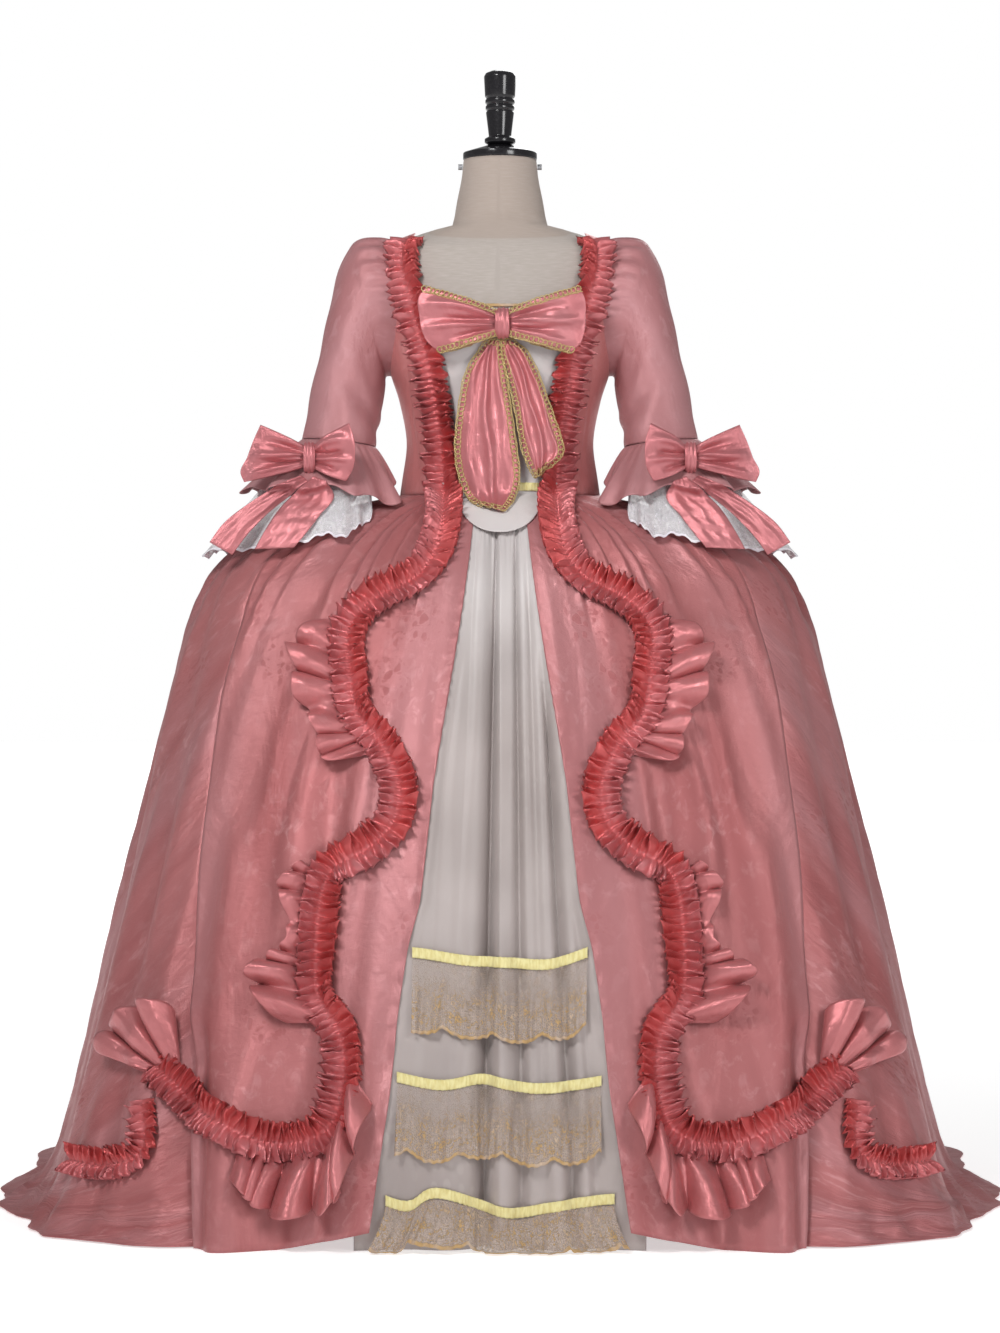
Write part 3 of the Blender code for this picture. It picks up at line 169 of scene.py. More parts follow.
# Lower edges of the pink cuff flounce and of the lace under it. Columns: direction
# (0 inner, 90 front), x, y, height
FLOUNCE_EDGE = (
    (0, 0.15, -0.042, 0.99), (45, 0.144, -0.118, 0.956), (68, 0.182, -0.146, 0.964),
    (90, 0.218, -0.148, 0.974), (135, 0.305, -0.128, 0.975), (180, 0.348, -0.042, 0.975),
    (225, 0.305, 0.045, 0.975), (270, 0.22, 0.068, 0.975), (315, 0.165, 0.03, 0.988),
)
LACE_EDGE = (
    (0, 0.178, -0.042, 0.998), (45, 0.176, -0.138, 0.93), (68, 0.196, -0.162, 0.912),
    (90, 0.228, -0.168, 0.906), (135, 0.32, -0.135, 0.896), (170, 0.4, -0.06, 0.886),
    (195, 0.39, 0.005, 0.888), (225, 0.325, 0.05, 0.905), (270, 0.222, 0.07, 0.945),
    (315, 0.18, 0.012, 0.99),
)
# Ruffle paths in the front drawing. Columns: x, height; millimetres, wearer's left side
BODY_RUFFLE = (
    (128, 1322), (134, 1292), (120, 1242), (117, 1226), (94, 1157), (85, 1093), (77, 1046),
    (77, 999), (78, 972),
)
SKIRT_RUFFLE = (
    (80, 940), (85, 905), (103, 869), (131, 848), (158, 838), (182, 824), (197, 807), (208, 783),
    (210, 759), (206, 724), (202, 697), (194, 668), (176, 646), (160, 625), (146, 600),
    (139, 573), (140, 545), (150, 514), (172, 493), (201, 475), (227, 461), (241, 442),
    (250, 408), (254, 367), (254, 325), (252, 291), (237, 264), (221, 236), (214, 209),
    (213, 167), (219, 133), (230, 106), (260, 85), (302, 81), (346, 87), (389, 112), (425, 138),
    (448, 165), (464, 178), (476, 190),
)
TRAIN_RUFFLE = (
    (490, 140), (489, 112), (484, 84), (500, 58), (535, 50), (570, 52), (590, 58),
)
# Fans sewn under the ruffles: pleats, seed and outline. Columns of an outline: station
# on the ruffle's path, outer x and height
FANS = {
    "fan_upper": (6, 81, (
        (7, 228, 798), (8.2, 279, 764), (9.4, 277, 730), (10.4, 268, 680), (11.6, 244, 650),
        (12.4, 238, 606), (13.2, 188, 612),
    )),
    "fan_middle": (7, 82, (
        (20.8, 254, 455), (21.6, 306, 433), (22.8, 292, 388), (23.8, 301, 350), (24.8, 337, 308),
        (26.6, 295, 246),
    )),
    "fan_lower": (7, 83, (
        (28.2, 170, 134), (29.2, 192, 70), (30.2, 202, 12), (31.4, 243, -12), (32.6, 300, -8),
        (34.2, 374, 28),
    )),
}
# The fan at the train ruffle's corner. Columns: inner x and height, outer x and height
FAN_SIDE = (
    (440, 188, 452, 260), (456, 186, 488, 261), (470, 186, 518, 236), (480, 182, 537, 212),
    (486, 176, 526, 190),
)
# Yellow ribbons in the front drawing, x and height along the middle of each, and the
# lace tier under each: its name, drop, standing-out of its foot, flare and seed
TIERS = (
    ("ribbon_a", ((-121, 342), (-60, 335), (0, 329), (62, 327), (121, 342)),
     "lace_a", 0.088, 0.010, 0.02, 1.0),
    ("ribbon_b", ((-142, 171), (-68, 160), (-26, 170), (62, 155), (140, 168)),
     "lace_b", 0.086, 0.012, 0.02, 2.3),
    ("ribbon_c", ((-158, 3), (-116, -9), (-103, 14), (-26, -2), (20, -18), (88, -2), (158, 3)),
     "lace_c", 0.052, 0.020, 0.17, 3.7),
)
# Tails of the bow on the stomacher. Columns: height, one edge x, other edge x
BOW_TAIL_R = (
    (1.1735, -0.014, -0.002), (1.158, -0.027, 0), (1.121, -0.047, 0.007), (1.038, -0.059, 0.02),
    (0.991, -0.054, 0.025), (0.962, -0.041, 0.018), (0.953, -0.028, 0.004),
)
BOW_TAIL_L = (
    (1.1735, 0.001, 0.014), (1.158, 0.003, 0.034), (1.13, 0.011, 0.049), (1.1, 0.018, 0.06),
    (1.069, 0.024, 0.071), (1.025, 0.032, 0.083), (1.003, 0.048, 0.062),
)
# Tails of the cuff bow. Columns: one edge x and height, other edge x and height, y
CUFF_TAIL_OUT = (
    (0.266, 0.992, 0.256, 0.984, -0.108), (0.3, 0.978, 0.283, 0.964, -0.118),
    (0.3375, 0.954, 0.312, 0.94, -0.128), (0.368, 0.929, 0.338, 0.912, -0.138),
    (0.388, 0.902, 0.3575, 0.885, -0.145),
)
CUFF_TAIL_IN = (
    (0.249, 0.99, 0.232, 0.984, -0.118), (0.272, 0.97, 0.222, 0.962, -0.135),
    (0.294, 0.947, 0.24, 0.938, -0.15), (0.311, 0.92, 0.256, 0.916, -0.162),
    (0.326, 0.892, 0.2735, 0.894, -0.17),
)
# Long creases of the tails. Columns: place across, drift on the way down, half width, height
TAIL_CREASES_R = (
    (0.2, 0.03, 0.12, 0.0034), (0.5, 0.06, 0.09, 0.0046), (0.84, 0, 0.09, 0.0024),
)
TAIL_CREASES_L = (
    (0.16, 0.03, 0.1, 0.0028), (0.47, 0.03, 0.1, 0.0042), (0.86, -0.03, 0.08, 0.0028),
)
TAIL_CREASES_OUT = (
    (0.3, 0.05, 0.13, 0.004), (0.72, -0.02, 0.12, 0.003),
)
TAIL_CREASES_IN = (
    (0.15, 0.02, 0.1, 0.004), (0.45, 0.05, 0.09, 0.0034), (0.78, 0, 0.1, 0.0036),
)
# Outline of a bow's loops: share of the half height, and reach of the first and second loop
MAIN_REACH = (
    (-1, 0.081, 0.092), (-0.7, 0.098, 0.104), (-0.3, 0.107, 0.11), (0.2, 0.111, 0.112),
    (0.7, 0.112, 0.11), (1, 0.101, 0.102),
)
CUFF_REACH = (
    (-1, 0.05, 0.088), (-0.6, 0.058, 0.093), (0, 0.062, 0.084), (0.5, 0.061, 0.076),
    (1, 0.054, 0.066),
)
# Creases of a loop. Columns: which loop, which wall, share of the half height, width, depth,
# and how far along the loop it starts and ends
LOOP_CREASES = (
    (-1, 1, 0.62, 0.13, 0.0034, 0.12, 0.95), (-1, 1, 0.22, 0.1, -0.0036, 0.1, 0.8),
    (-1, 1, -0.16, 0.14, 0.003, 0.12, 1), (-1, 1, -0.58, 0.12, -0.003, 0.1, 0.75),
    (1, 1, 0.52, 0.12, -0.0034, 0.1, 0.85), (1, 1, 0.12, 0.15, 0.0034, 0.12, 1),
    (1, 1, -0.3, 0.1, -0.0034, 0.1, 0.7), (1, 1, -0.66, 0.12, 0.0026, 0.15, 0.9),
    (-1, -1, 0.3, 0.16, 0.0026, 0.1, 0.85), (-1, -1, -0.35, 0.14, -0.0024, 0.1, 0.8),
    (1, -1, 0.4, 0.15, -0.0026, 0.1, 0.8), (1, -1, -0.2, 0.16, 0.0026, 0.1, 0.9),
)
CREASE_DEPTH = 2.2
LOOP_PINCH = 0.020

# Turned black cap and finial. Columns: radius, height
CAP_PROFILE = (
    (0, 1.4325), (0.0507, 1.4325), (0.0507, 1.4416), (0.018, 1.452), (0, 1.452),
)
FINIAL_PROFILE = (
    (0, 1.4523), (0.015, 1.4523), (0.0211, 1.4558), (0.0211, 1.4612), (0.0153, 1.4645),
    (0.0193, 1.498), (0.0176, 1.4995), (0.0198, 1.502), (0.0198, 1.506), (0.0178, 1.508),
    (0.0202, 1.5105), (0.0202, 1.5145), (0.0184, 1.5165), (0.0206, 1.5195), (0.022, 1.547),
    (0.0195, 1.5515), (0.012, 1.5545), (0, TOTAL_HEIGHT),
)
# Pleats of the petticoat front. Columns: x at the waist and at the hem, depth, half width
PLEATS = (
    (-0.01, -0.024, 0.012, 0.01), (-0.004, -0.024, 0.013, 0.0042), (0.021, 0.03, 0.011, 0.0045),
    (0.036, 0.062, 0.006, 0.006), (0.047, 0.104, 0.014, 0.005), (0.06, 0.135, 0.006, 0.007),
    (-0.03, -0.075, 0.004, 0.008), (-0.046, -0.118, 0.003, 0.008),
)

# Gathered trim: length of one fold, points to a fold, columns of the strip and of the
# coarse band that it is laid on, and step along a path in millimetres
RUFFLE_PITCH = 0.0096
RUFFLE_POINTS = 6.2
RUFFLE_COLUMNS = 15
BAND_COLUMNS = 7
PATH_STEP = 8
# Fans: width of the ruffle over their inner edge, columns, least depth
FAN_WIDTH = 0.050
FAN_COLUMNS = 24
FAN_LEAST = 0.016
# Ribbons and lace tiers: step along them, columns of each, lowest height of a lace edge
TIER_STEP = 0.0016
RIBBON_COLUMNS = 11
LACE_COLUMNS = 26
LACE_FOOT = 0.0035

# Looped cord of the large bow: length of a loop, its radius, the cord's radius and sides
CORD_PITCH = 0.0064
CORD_LOOP = 0.0043
CORD_RADIUS = 0.00085
CORD_SIDES = 5

# Pink satins. Columns: ground, darker and paler colour, strength of the figure, of the
# creases, roughness, lustre, sheen, and colour of the painted shade above the cloth's middle line
SATINS = {
    "pink": ((180, 113, 114), (158, 87, 88), (210, 158, 160), 1.25, 1.0, 0.36, 0.25),
    "sleeve": ((186, 132, 135), (166, 108, 110), (208, 162, 165), 0.8, 1.0, 0.42, 0.14),
    "bow": ((200, 126, 130), (170, 90, 94), (228, 176, 180), 0.5, 1.5, 0.33, 0.45),
    "fan": ((200, 124, 126), (172, 92, 94), (232, 182, 184), 0.5, 1.3, 0.33, 0.45),
    "ruffle": ((208, 124, 127), (182, 92, 95), (240, 190, 194), 0.4, 0.8, 0.33, 0.42, 0.1,
               (196, 88, 88)),
    # The bodice satin is the pink satin made brighter: painted light where the bodice lies in shade
    "bodice": ((204, 132, 131), (182, 106, 105), (224, 172, 172), 1.1, 1.0, 0.36, 0.25),
}
SHEEN_TINT = (1.0, 0.66, 0.68)
GLINT_TINT = (1.0, 0.80, 0.81)

WORLD_LIGHT = 0.24
BACKDROP = 1.0
FLOOR_GLOW = 0.54
FLOOR_SIZE = 30.0
# Studio lights. Columns: name, place, what it points at, width, height, spread and power
LIGHTS = (
    ("key", (-1.4, -3.0, 3.1), (0.0, -0.1, 1.0), 1.0, 1.0, 75, 16.3),
    ("fill", (2.2, -3.4, 1.8), (0.0, 0.0, 0.9), 1.2, 1.2, 90, 11.5),
    ("back", (0.6, 2.6, 2.6), (0.0, 0.0, 0.8), 1.4, 1.4, 120, 9.0),
    ("far floor", (0.0, 17.0, 5.0), (0.0, 17.0, 0.0), 22.0, 28.0, 80, 1300.0),
)

# Sheets of cloth, named without cloth_. Columns: piece, cut width and length, cut area
# where the cut isn't a rectangle, how it is held, and what it rests on; left and right
# pieces share a row
CUTS = (
    ("form_cover", 0.95, 0.62, 0.42, "stretched", "form_torso"),
    ("bodice_front", 0.10, 0.37, 0.031, "stretched", "form_cover"),
    ("bodice_back", 0.19, 0.37, 0.061, "stretched", "form_cover"),
    ("stomacher", 0.23, 0.32, 0.057, "stretched", "form_cover"),
    ("edge_strip", 0.20, 0.010, 0.0013, "stretched", "stomacher"),
    ("tab_ribbon", 0.108, 0.012, None, "stretched", "stomacher"),
    ("sleeve", 0.36, 0.32, 0.092, "hung", "bodice_front", "bodice_back"),
    ("cuff_flounce", 0.60, 0.085, None, "gathered", "sleeve"),
    ("cuff_lace", 0.75, 0.11, None, "gathered", "sleeve"),
    ("overskirt", 0.48, 0.99, 0.36, "hung", "bodice_front"),
    ("train", 3.60, 1.35, 2.9, "hung", "bodice_back_l", "bodice_back_r"),
    ("petticoat", 0.42, 0.98, None, "gathered", "form_cover"),
    ("bow_loops", 0.09, 0.37, None, "folded", "stomacher"),
    ("bow_knot", 0.022, 0.105, None, "folded", "bow_loops"),
    ("bow_tail_l", 0.060, 0.185, None, "hung", "bow_knot"),
    ("bow_tail_r", 0.075, 0.235, None, "hung", "bow_knot"),
    ("cuff_bow", 0.07, 0.31, None, "folded", "sleeve"),
    ("cuff_knot", 0.018, 0.105, None, "folded", "cuff_bow"),
    ("cuff_tail_in", 0.058, 0.12, None, "hung", "cuff_knot"),
    ("cuff_tail_out", 0.036, 0.155, None, "hung", "cuff_knot"),
    ("ruffle_body", 0.052, 1.12, None, "gathered", "bodice_front"),
    ("ruffle_skirt", 0.052, 3.65, None, "gathered", "overskirt"),
    ("ruffle_train", 0.042, 0.60, None, "gathered", "train"),
    ("fan_upper", 0.075, 0.26, None, "gathered", "overskirt"),
    ("fan_middle", 0.060, 0.26, None, "gathered", "overskirt"),
    ("fan_lower", 0.10, 0.36, None, "gathered", "overskirt"),
    ("fan_side", 0.095, 0.20, None, "gathered", "train"),
    ("ribbon_a", 0.25, 0.014, None, "gathered", "petticoat"),
    ("ribbon_b", 0.29, 0.014, None, "gathered", "petticoat"),
    ("ribbon_c", 0.32, 0.014, None, "gathered", "petticoat"),
    ("lace_a", 0.30, 0.088, None, "gathered", "ribbon_a"),
    ("lace_b", 0.345, 0.086, None, "gathered", "ribbon_b"),
    ("lace_c", 0.42, 0.060, None, "gathered", "ribbon_c"),
)


def smooth(table, at):
    """Columns of a table at some places, on a smooth curve through its rows."""
    rows = np.array(table, float)
    x, y = rows[:, 0], rows[:, 1:]
    slope = np.gradient(y, x, axis=0)
    at = np.clip(np.asarray(at, float), x[0], x[-1])
    k = np.clip(np.searchsorted(x, at, side="right") - 1, 0, len(x) - 2)
    w = (x[k + 1] - x[k])[..., None]
    t = (at - x[k])[..., None] / w
    low = (1 + 2 * t) * (1 - t) ** 2 * y[k] + t * (1 - t) ** 2 * w * slope[k]
    return low + t * t * (3 - 2 * t) * y[k + 1] + t * t * (t - 1) * w * slope[k + 1]


def section(table, height):
    """Half width, front depth, back depth and squareness of a table's ring."""
    return np.moveaxis(smooth(table, height), -1, 0)


def line_at(table, height):
    """The second column of a table at some heights, straight between its rows."""
    return np.interp(height, *np.array(table, float).T)


def ease(low, high, at):
    """0 below low, 1 above high, smooth between."""
    t = np.clip((np.asarray(at, float) - low) / (high - low), 0, 1)
    return t * t * (3 - 2 * t)


def bell(x, width, power=2):
    """1 at nought, falling smoothly to nothing on both sides."""
    return np.exp(-np.abs(x / width) ** power)


def rumple(a, b, seed, waves=7):
    """A smooth uneven value from about -1 to 1 over two directions."""
    rng = np.random.default_rng(seed)
    total = 0.0
    for _ in range(waves):
        fa, fb = rng.normal(0, 1, 2)
        total = total + np.sin(fa * a + fb * b + rng.uniform(0, 6.28))
    return total / waves ** 0.5 / 1.4


def ring(table, height, angle, ripple=0.0):
    """Points of squared oval rings at angles in degrees, measured round the Z axis."""
    height = np.asarray(height, float) + 0 * np.asarray(angle, float)
    width, front, back, square = section(table, height)
    sine, cosine = np.sin(np.radians(angle)), np.cos(np.radians(angle))
    depth = np.where(cosine > 0, front, back)
    radius = (np.abs(sine) / width) ** square + (np.abs(cosine) / depth) ** square
    radius = radius ** (-1 / square) + ripple
    return np.stack([radius * sine, -radius * cosine, height], -1)


def angle_at(table, height, across, back=False):
    """The angle of the ring's point that lies this far from the middle."""
    width, front, rear, square = section(table, height)
    share = np.minimum(np.abs(across) / width, 1.0)
    depth = np.where(back, rear, front) * (1 - share ** square) ** (1 / square)
    return np.degrees(np.arctan2(np.abs(across), np.where(back, -depth, depth)))


def turn_at(table, height, across):
    """The angle on the front that lies this far left or right of the middle."""
    return np.sign(across) * angle_at(table, height, across)


def fold_height(angle, height):
    """How far the large folds and the small ones between them lift the skirt's cloth."""
    side = np.abs((angle + 180) % 360 - 180)
    up = height / WAIST
    total = 0.0
    for hip, hem, reach, wide_hip, wide_hem, low, high in FOLDS:
        room = 0.25 * (high - low)
        fade = ease(0, 1, (high - height) / room)
        if low > 0.2:
            fade = fade * ease(0, 1, (height - low) / room)
        wide = wide_hem + (wide_hip - wide_hem) * up
        total = total + reach * fade * bell(side - (hem + (hip - hem) * up), wide)
    # Knife pleats that fan out from the waist seam and die out over the hip
    turn = side / 5.6 + 0.35 * np.sin(side * 0.31) + (1 - up) * 0.9
    tooth = turn - np.floor(turn)
    length = 0.77 + 0.06 * np.sin(np.floor(turn) * 2.4)
    fan = ease(length, 0.92, height) * ease(18, 28, side) * (1 - 0.5 * ease(0.945, 0.969, height))
    total = total + 0.0140 * fan * (tooth ** 2 * 1.3 - ease(0.84, 1.0, tooth) * 1.3 - 0.3)
    # Soft wide folds that grow towards the hem
    drop = 1 - ease(0.1, 0.9, height)
    for least, reach, across, tall, seed in (
        (0.0, 0.0095, 0.18, 1.7, 5), (0.45, 0.0058, 0.46, 1.6, 8), (0.2, 0.0030, 0.95, 1.3, 6),
    ):
        total = total + (least + drop) * reach * rumple(side * across, height * tall, seed)
    return total + 0.0011 * rumple(side * 1.3, height * 9, 9)


def skirt(angle, height):
    """Points of the overskirt's outer face."""
    return ring(SKIRT, height, angle, fold_height(angle, height))


def even_angles(table, height, start, end, count):
    """Angles that share the turn of a ring evenly, from start to end."""
    width, front, back, _ = section(table, height)
    turns = []
    for angle in (math.radians(start), math.radians(end)):
        depth = front if math.cos(angle) > 0 else back
        turns.append(math.atan2(math.sin(angle) / width, math.cos(angle) / depth))
    turn = np.linspace(*turns, count)
    depth = np.where(np.cos(turn) > 0, front, back)
    return np.degrees(np.arctan2(width * np.sin(turn), depth * np.cos(turn)))


def unit(a):
    """Vectors of length 1."""
    return a / np.maximum(np.linalg.norm(a, axis=-1, keepdims=True), 1e-12)


def outward(p):
    """Level directions away from the Z axis."""
    return unit(p * [1, 1, 0])


def moved(p, way, far):
    """Points moved along directions, each by its own length."""
    return p + way * np.asarray(far)[..., None]


def normals_of(p, loop=False):
    """Directions square to a grid of points."""
    along = np.roll(p, -1, 1) - np.roll(p, 1, 1) if loop else np.gradient(p, axis=1)
    return unit(np.cross(along, np.gradient(p, axis=0)))


def facing(p, place, out):
    """1 if a grid's outer face looks along a direction at one place, otherwise -1."""
    return 1 if normals_of(p)[place] @ np.asarray(out) > 0 else -1


def run_of(points):
    """The length along a line up to each of its points."""
    return np.concatenate([[0], np.cumsum(np.linalg.norm(np.diff(points, axis=0), axis=1))])


def between(at, stations, rows):
    """Rows of values at some places, straight between their stations."""
    return np.stack([np.interp(at, stations, column) for column in np.transpose(rows)], -1)


def soften(rows, rounds):
    """Evens out the rows of an array in place, all but its ends."""
    for _ in range(rounds):
        rows[1:-1] = rows[1:-1] * 0.5 + (rows[:-2] + rows[2:]) * 0.25


def through(rows, at):
    """An array read at places along its first axis, on a smooth curve."""
    rows = np.array(rows, float)
    flat = np.column_stack([np.arange(len(rows)), rows.reshape(len(rows), -1)])
    return smooth(flat, at).reshape(len(at), *rows.shape[1:])


def fine(grid, at_rows, at_columns):
    """A grid read at finer places along both ways, on smooth curves."""
    return through(through(grid, at_rows).swapaxes(0, 1), at_columns).swapaxes(0, 1)


def curve_through(rows, count=None, step=None):
    """Points on a smooth curve through the rows, evenly spaced, and their stations."""
    at = np.linspace(0, len(rows) - 1, (len(rows) - 1) * 24 + 1)
    dense = through(rows, at)
    length = run_of(dense)
    want = np.linspace(0, length[-1], count or int(length[-1] / step) + 1)
    return between(want, length, dense), np.interp(want, length, at)


def mean_of_four(a):
    """The mean of each value's four neighbours."""
    pad = np.pad(a, 1, mode="edge")
    return (pad[:-2, 1:-1] + pad[2:, 1:-1] + pad[1:-1, :-2] + pad[1:-1, 2:]) / 4


def flipped(p):
    """A grid on the other side of the middle plane."""
    return np.asarray(p) * [-1.0, 1.0, 1.0]


def added(name, data):
    """A new object in the scene."""
    thing = bpy.data.objects.new(name, data)
    bpy.context.scene.collection.objects.link(thing)
    return thing


def finish_piece(name, mesh, look, *nodes):
    """A new piece with its material and body; the nodes that it stands for are hidden."""
    thing = added(name, mesh)
    material, slot = look
    thing.data.materials.append(material)
    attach(thing, "root")
    if nodes:
        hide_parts(*nodes)
    return thing


def mesh_of(name, points, faces, uv=None):
    """A smooth mesh, with a map of the cloth in metres where there is one."""
    mesh = bpy.data.meshes.new(name)
    mesh.from_pydata(points.tolist(), [], faces)
    if uv is not None:
        layer = mesh.uv_layers.new(name="cloth")
        corners = np.empty(len(mesh.loops), np.int32)
        mesh.loops.foreach_get("vertex_index", corners)
        layer.data.foreach_set("uv", uv[corners].astype(np.float32).ravel())
    mesh.polygons.foreach_set("use_smooth", np.ones(len(mesh.polygons), bool))
    return mesh


def index_grid(rows, columns, start=0):
    """Numbers of the points of a grid."""
    return np.arange(rows * columns).reshape(rows, columns) + start


def quads(here, after):
    """Faces between neighbouring rows of two grids of numbers."""
    return np.stack([here[:-1], after[:-1], after[1:], here[1:]], -1).reshape(-1, 4)


def shell(p, thick, loop, flip, uv):
    """Points, faces and map of a thin wall whose outer face is a grid of points."""
    rows, columns, _ = p.shape
    if uv is None:
        step = np.linalg.norm(np.diff(p, axis=1), axis=-1)
        u = np.concatenate([np.zeros((rows, 1)), np.cumsum(step, 1)], 1)
        u = u - u[:, columns // 2:columns // 2 + 1]
        rise = np.linalg.norm(np.diff(p, axis=0), axis=-1).mean(1)
        uv = np.stack([u, np.concatenate([[0.0], np.cumsum(rise)])[:, None] + 0 * u], -1)
    inner = p - normals_of(p, loop) * flip * thick
    index = index_grid(rows, columns)
    back = rows * columns
    after = np.roll(index, -1, 1) if loop else index[:, 1:]
    here = index if loop else index[:, :-1]
    rims = [(here[0], after[0], 1), (here[-1], after[-1], -1)]
    if not loop:
        rims += [(index[:-1, 0], index[1:, 0], -1), (index[:-1, -1], index[1:, -1], 1)]
    outer = quads(here, after)
    faces = [outer, outer[:, ::-1] + back]
    faces += [np.stack([a, a + back, b + back, b], -1)[:, ::order] for a, b, order in rims]
    points = np.concatenate([p.reshape(-1, 3), inner.reshape(-1, 3)])
    return points, np.concatenate(faces)[:, ::flip].tolist(), np.tile(uv.reshape(-1, 2), (2, 1))


def cloth(node, p, look, thick=SATIN_THICK, loop=False, flip=1, uv=None, name=None):
    """A piece of cloth as a thin wall, from the points of its outer face."""
    name = name or "cloth_" + node
    finish_piece(name, mesh_of(name, *shell(p, thick, loop, flip, uv)), look, node)


def both(node, p, look, thick=SATIN_THICK, loop=False, flip=1, uv=None):
    """A piece on the wearer's left and its mirror image on the right."""
    cloth(node + "_l", p, look, thick, loop, flip, uv)
    cloth(node + "_r", flipped(p), look, thick, loop, -flip, uv)


def tree_of(*grids):
    """A search tree over grids of points."""
    points, faces = [], []
    for p in grids:
        index = index_grid(*p.shape[:2], len(points))
        points += p.reshape(-1, 3).tolist()
        faces += quads(index[:, :-1], index[:, 1:]).tolist()
    return BVHTree.FromPolygons(points, faces)


def lay(tree, x, height):
    """Where the sight line through a place of the front drawing meets a surface, in millimetres."""
    aim = Vector((x / 1000, 0.0, height / 1000)) - EYE
    point, normal, _, _ = tree.ray_cast(EYE, aim.normalized())
    if point is None:
        return None, None
    return point, -normal if normal.dot(aim) > 0 else normal


def draped(tree, grid, outs, above=0.06):
    """A grid moved onto the surface under it, looking back along each row's direction out."""
    grid = np.array(grid)
    for row, out in zip(grid, outs):
        for k, point in enumerate(row):
            hit = tree.ray_cast(Vector(point + out * above), Vector(-out), above * 2.5)[0]
            if hit is not None:
                row[k] = hit
    return grid


def front_of(tree, x, z, back):
    """How far forward the surface stands at places seen from the front."""
    y = np.empty(x.shape)
    for index in np.ndindex(x.shape):
        hit = tree.ray_cast(Vector((x[index], IN_FRONT, z[index])), Vector((0, 1, 0)))[0]
        y[index] = back if hit is None else hit.y
    return y


class Web:
    """A material's nodes, wired by short calls."""

    def __init__(self, name, roughness, sheen=0.0, sheen_roughness=0.4, specular=0.5):
        self.look = bpy.data.materials.new(name)
        self.slot = name.replace(" ", "_")
        self.look.use_nodes = True
        self.shader = self.look.node_tree.nodes["Principled BSDF"]
        self.set("Roughness", roughness)
        self.set("Specular IOR Level", specular)
        self.set("Sheen Weight", sheen)
        self.set("Sheen Roughness", sheen_roughness)
        self.place = self.node("TexCoord", out="UV")
        self.body = self.node("TexCoord", out="Object")
        self.bumps = None

    def link(self, value, socket):
        if isinstance(value, bpy.types.NodeSocket):
            self.look.node_tree.links.new(value, socket)
        else:
            socket.default_value = (*value, 1.0) if socket.type == "RGBA" else value

    def set(self, name, value):
        self.link(value, self.shader.inputs[name])

    def node(self, kind, inputs=(), out=0, **settings):
        """One output of a new node, its inputs set or linked."""
        made = self.look.node_tree.nodes.new("ShaderNode" + kind)
        for name, value in settings.items():
            setattr(made, name, value)
        for name, value in dict(inputs).items():
            self.link(value, made.inputs[name])
        return made.outputs[out]

    def math(self, kind, *values):
        return self.node("Math", enumerate(values), operation=kind)

    def times(self, a, b):
        return self.math("MULTIPLY", a, b)

    def scaled(self, a, factor, shift):
        return self.math("MULTIPLY_ADD", a, factor, shift)

    def stretch(self, place, x, y, turn=0.0):
        inputs = {"Vector": place, "Scale": (x, y, 1.0), "Rotation": (0.0, 0.0, turn)}
        return self.node("Mapping", inputs)

    def noise(self, place, scale, detail=3.0, rough=0.5, warp=0.0):
        inputs = {"Vector": place, "Scale": scale, "Detail": detail, "Roughness": rough}
        return self.node("TexNoise", {**inputs, "Distortion": warp}, "Fac")

    def cells(self, place, scale, feature="F1", random=1.0):
        inputs = {"Vector": place, "Scale": scale, "Randomness": random}
        return self.node("TexVoronoi", inputs, "Distance", feature=feature)

    def wave(self, place, scale, direction="X", warp=0.0):
        inputs = {"Vector": place, "Scale": scale, "Distortion": warp}
        return self.node("TexWave", inputs, "Fac", bands_direction=direction)

    def ramp(self, value, low, high, out_low=0.0, out_high=1.0):
        inputs = {"Value": value, "From Min": low, "From Max": high}
        inputs.update({"To Min": out_low, "To Max": out_high})
        return self.node("MapRange", inputs, interpolation_type="SMOOTHSTEP")

    def spots(self, place, scale, near, far):
        """1 in the middle of each cell of a loose pattern, 0 beyond it."""
        return self.ramp(self.cells(place, scale), near, far, 1.0, 0.0)

    def mix(self, share, a, b):
        return self.node("Mix", {0: share, 6: a, 7: b}, 2, data_type="RGBA")

    def axis(self, place, number):
        return self.node("SeparateXYZ", {0: place}, number)

    def bump(self, height, depth, strength):
        """One more relief, on top of those before it."""
        inputs = {"Height": height, "Distance": depth, "Strength": strength}
        if self.bumps is not None:
            inputs["Normal"] = self.bumps
        self.bumps = self.node("Bump", inputs)
        self.set("Normal", self.bumps)

    def done(self, slot=None):
        """The look: the material, and its slot, which has the same name unless stated."""
        return self.look, slot or self.slot


def srgb(r, g, b):
    """A colour of 0 to 255 as light values."""
    shares = (r / 255, g / 255, b / 255)
    return tuple(c / 12.92 if c <= 0.04045 else ((c + 0.055) / 1.055) ** 2.4 for c in shares)


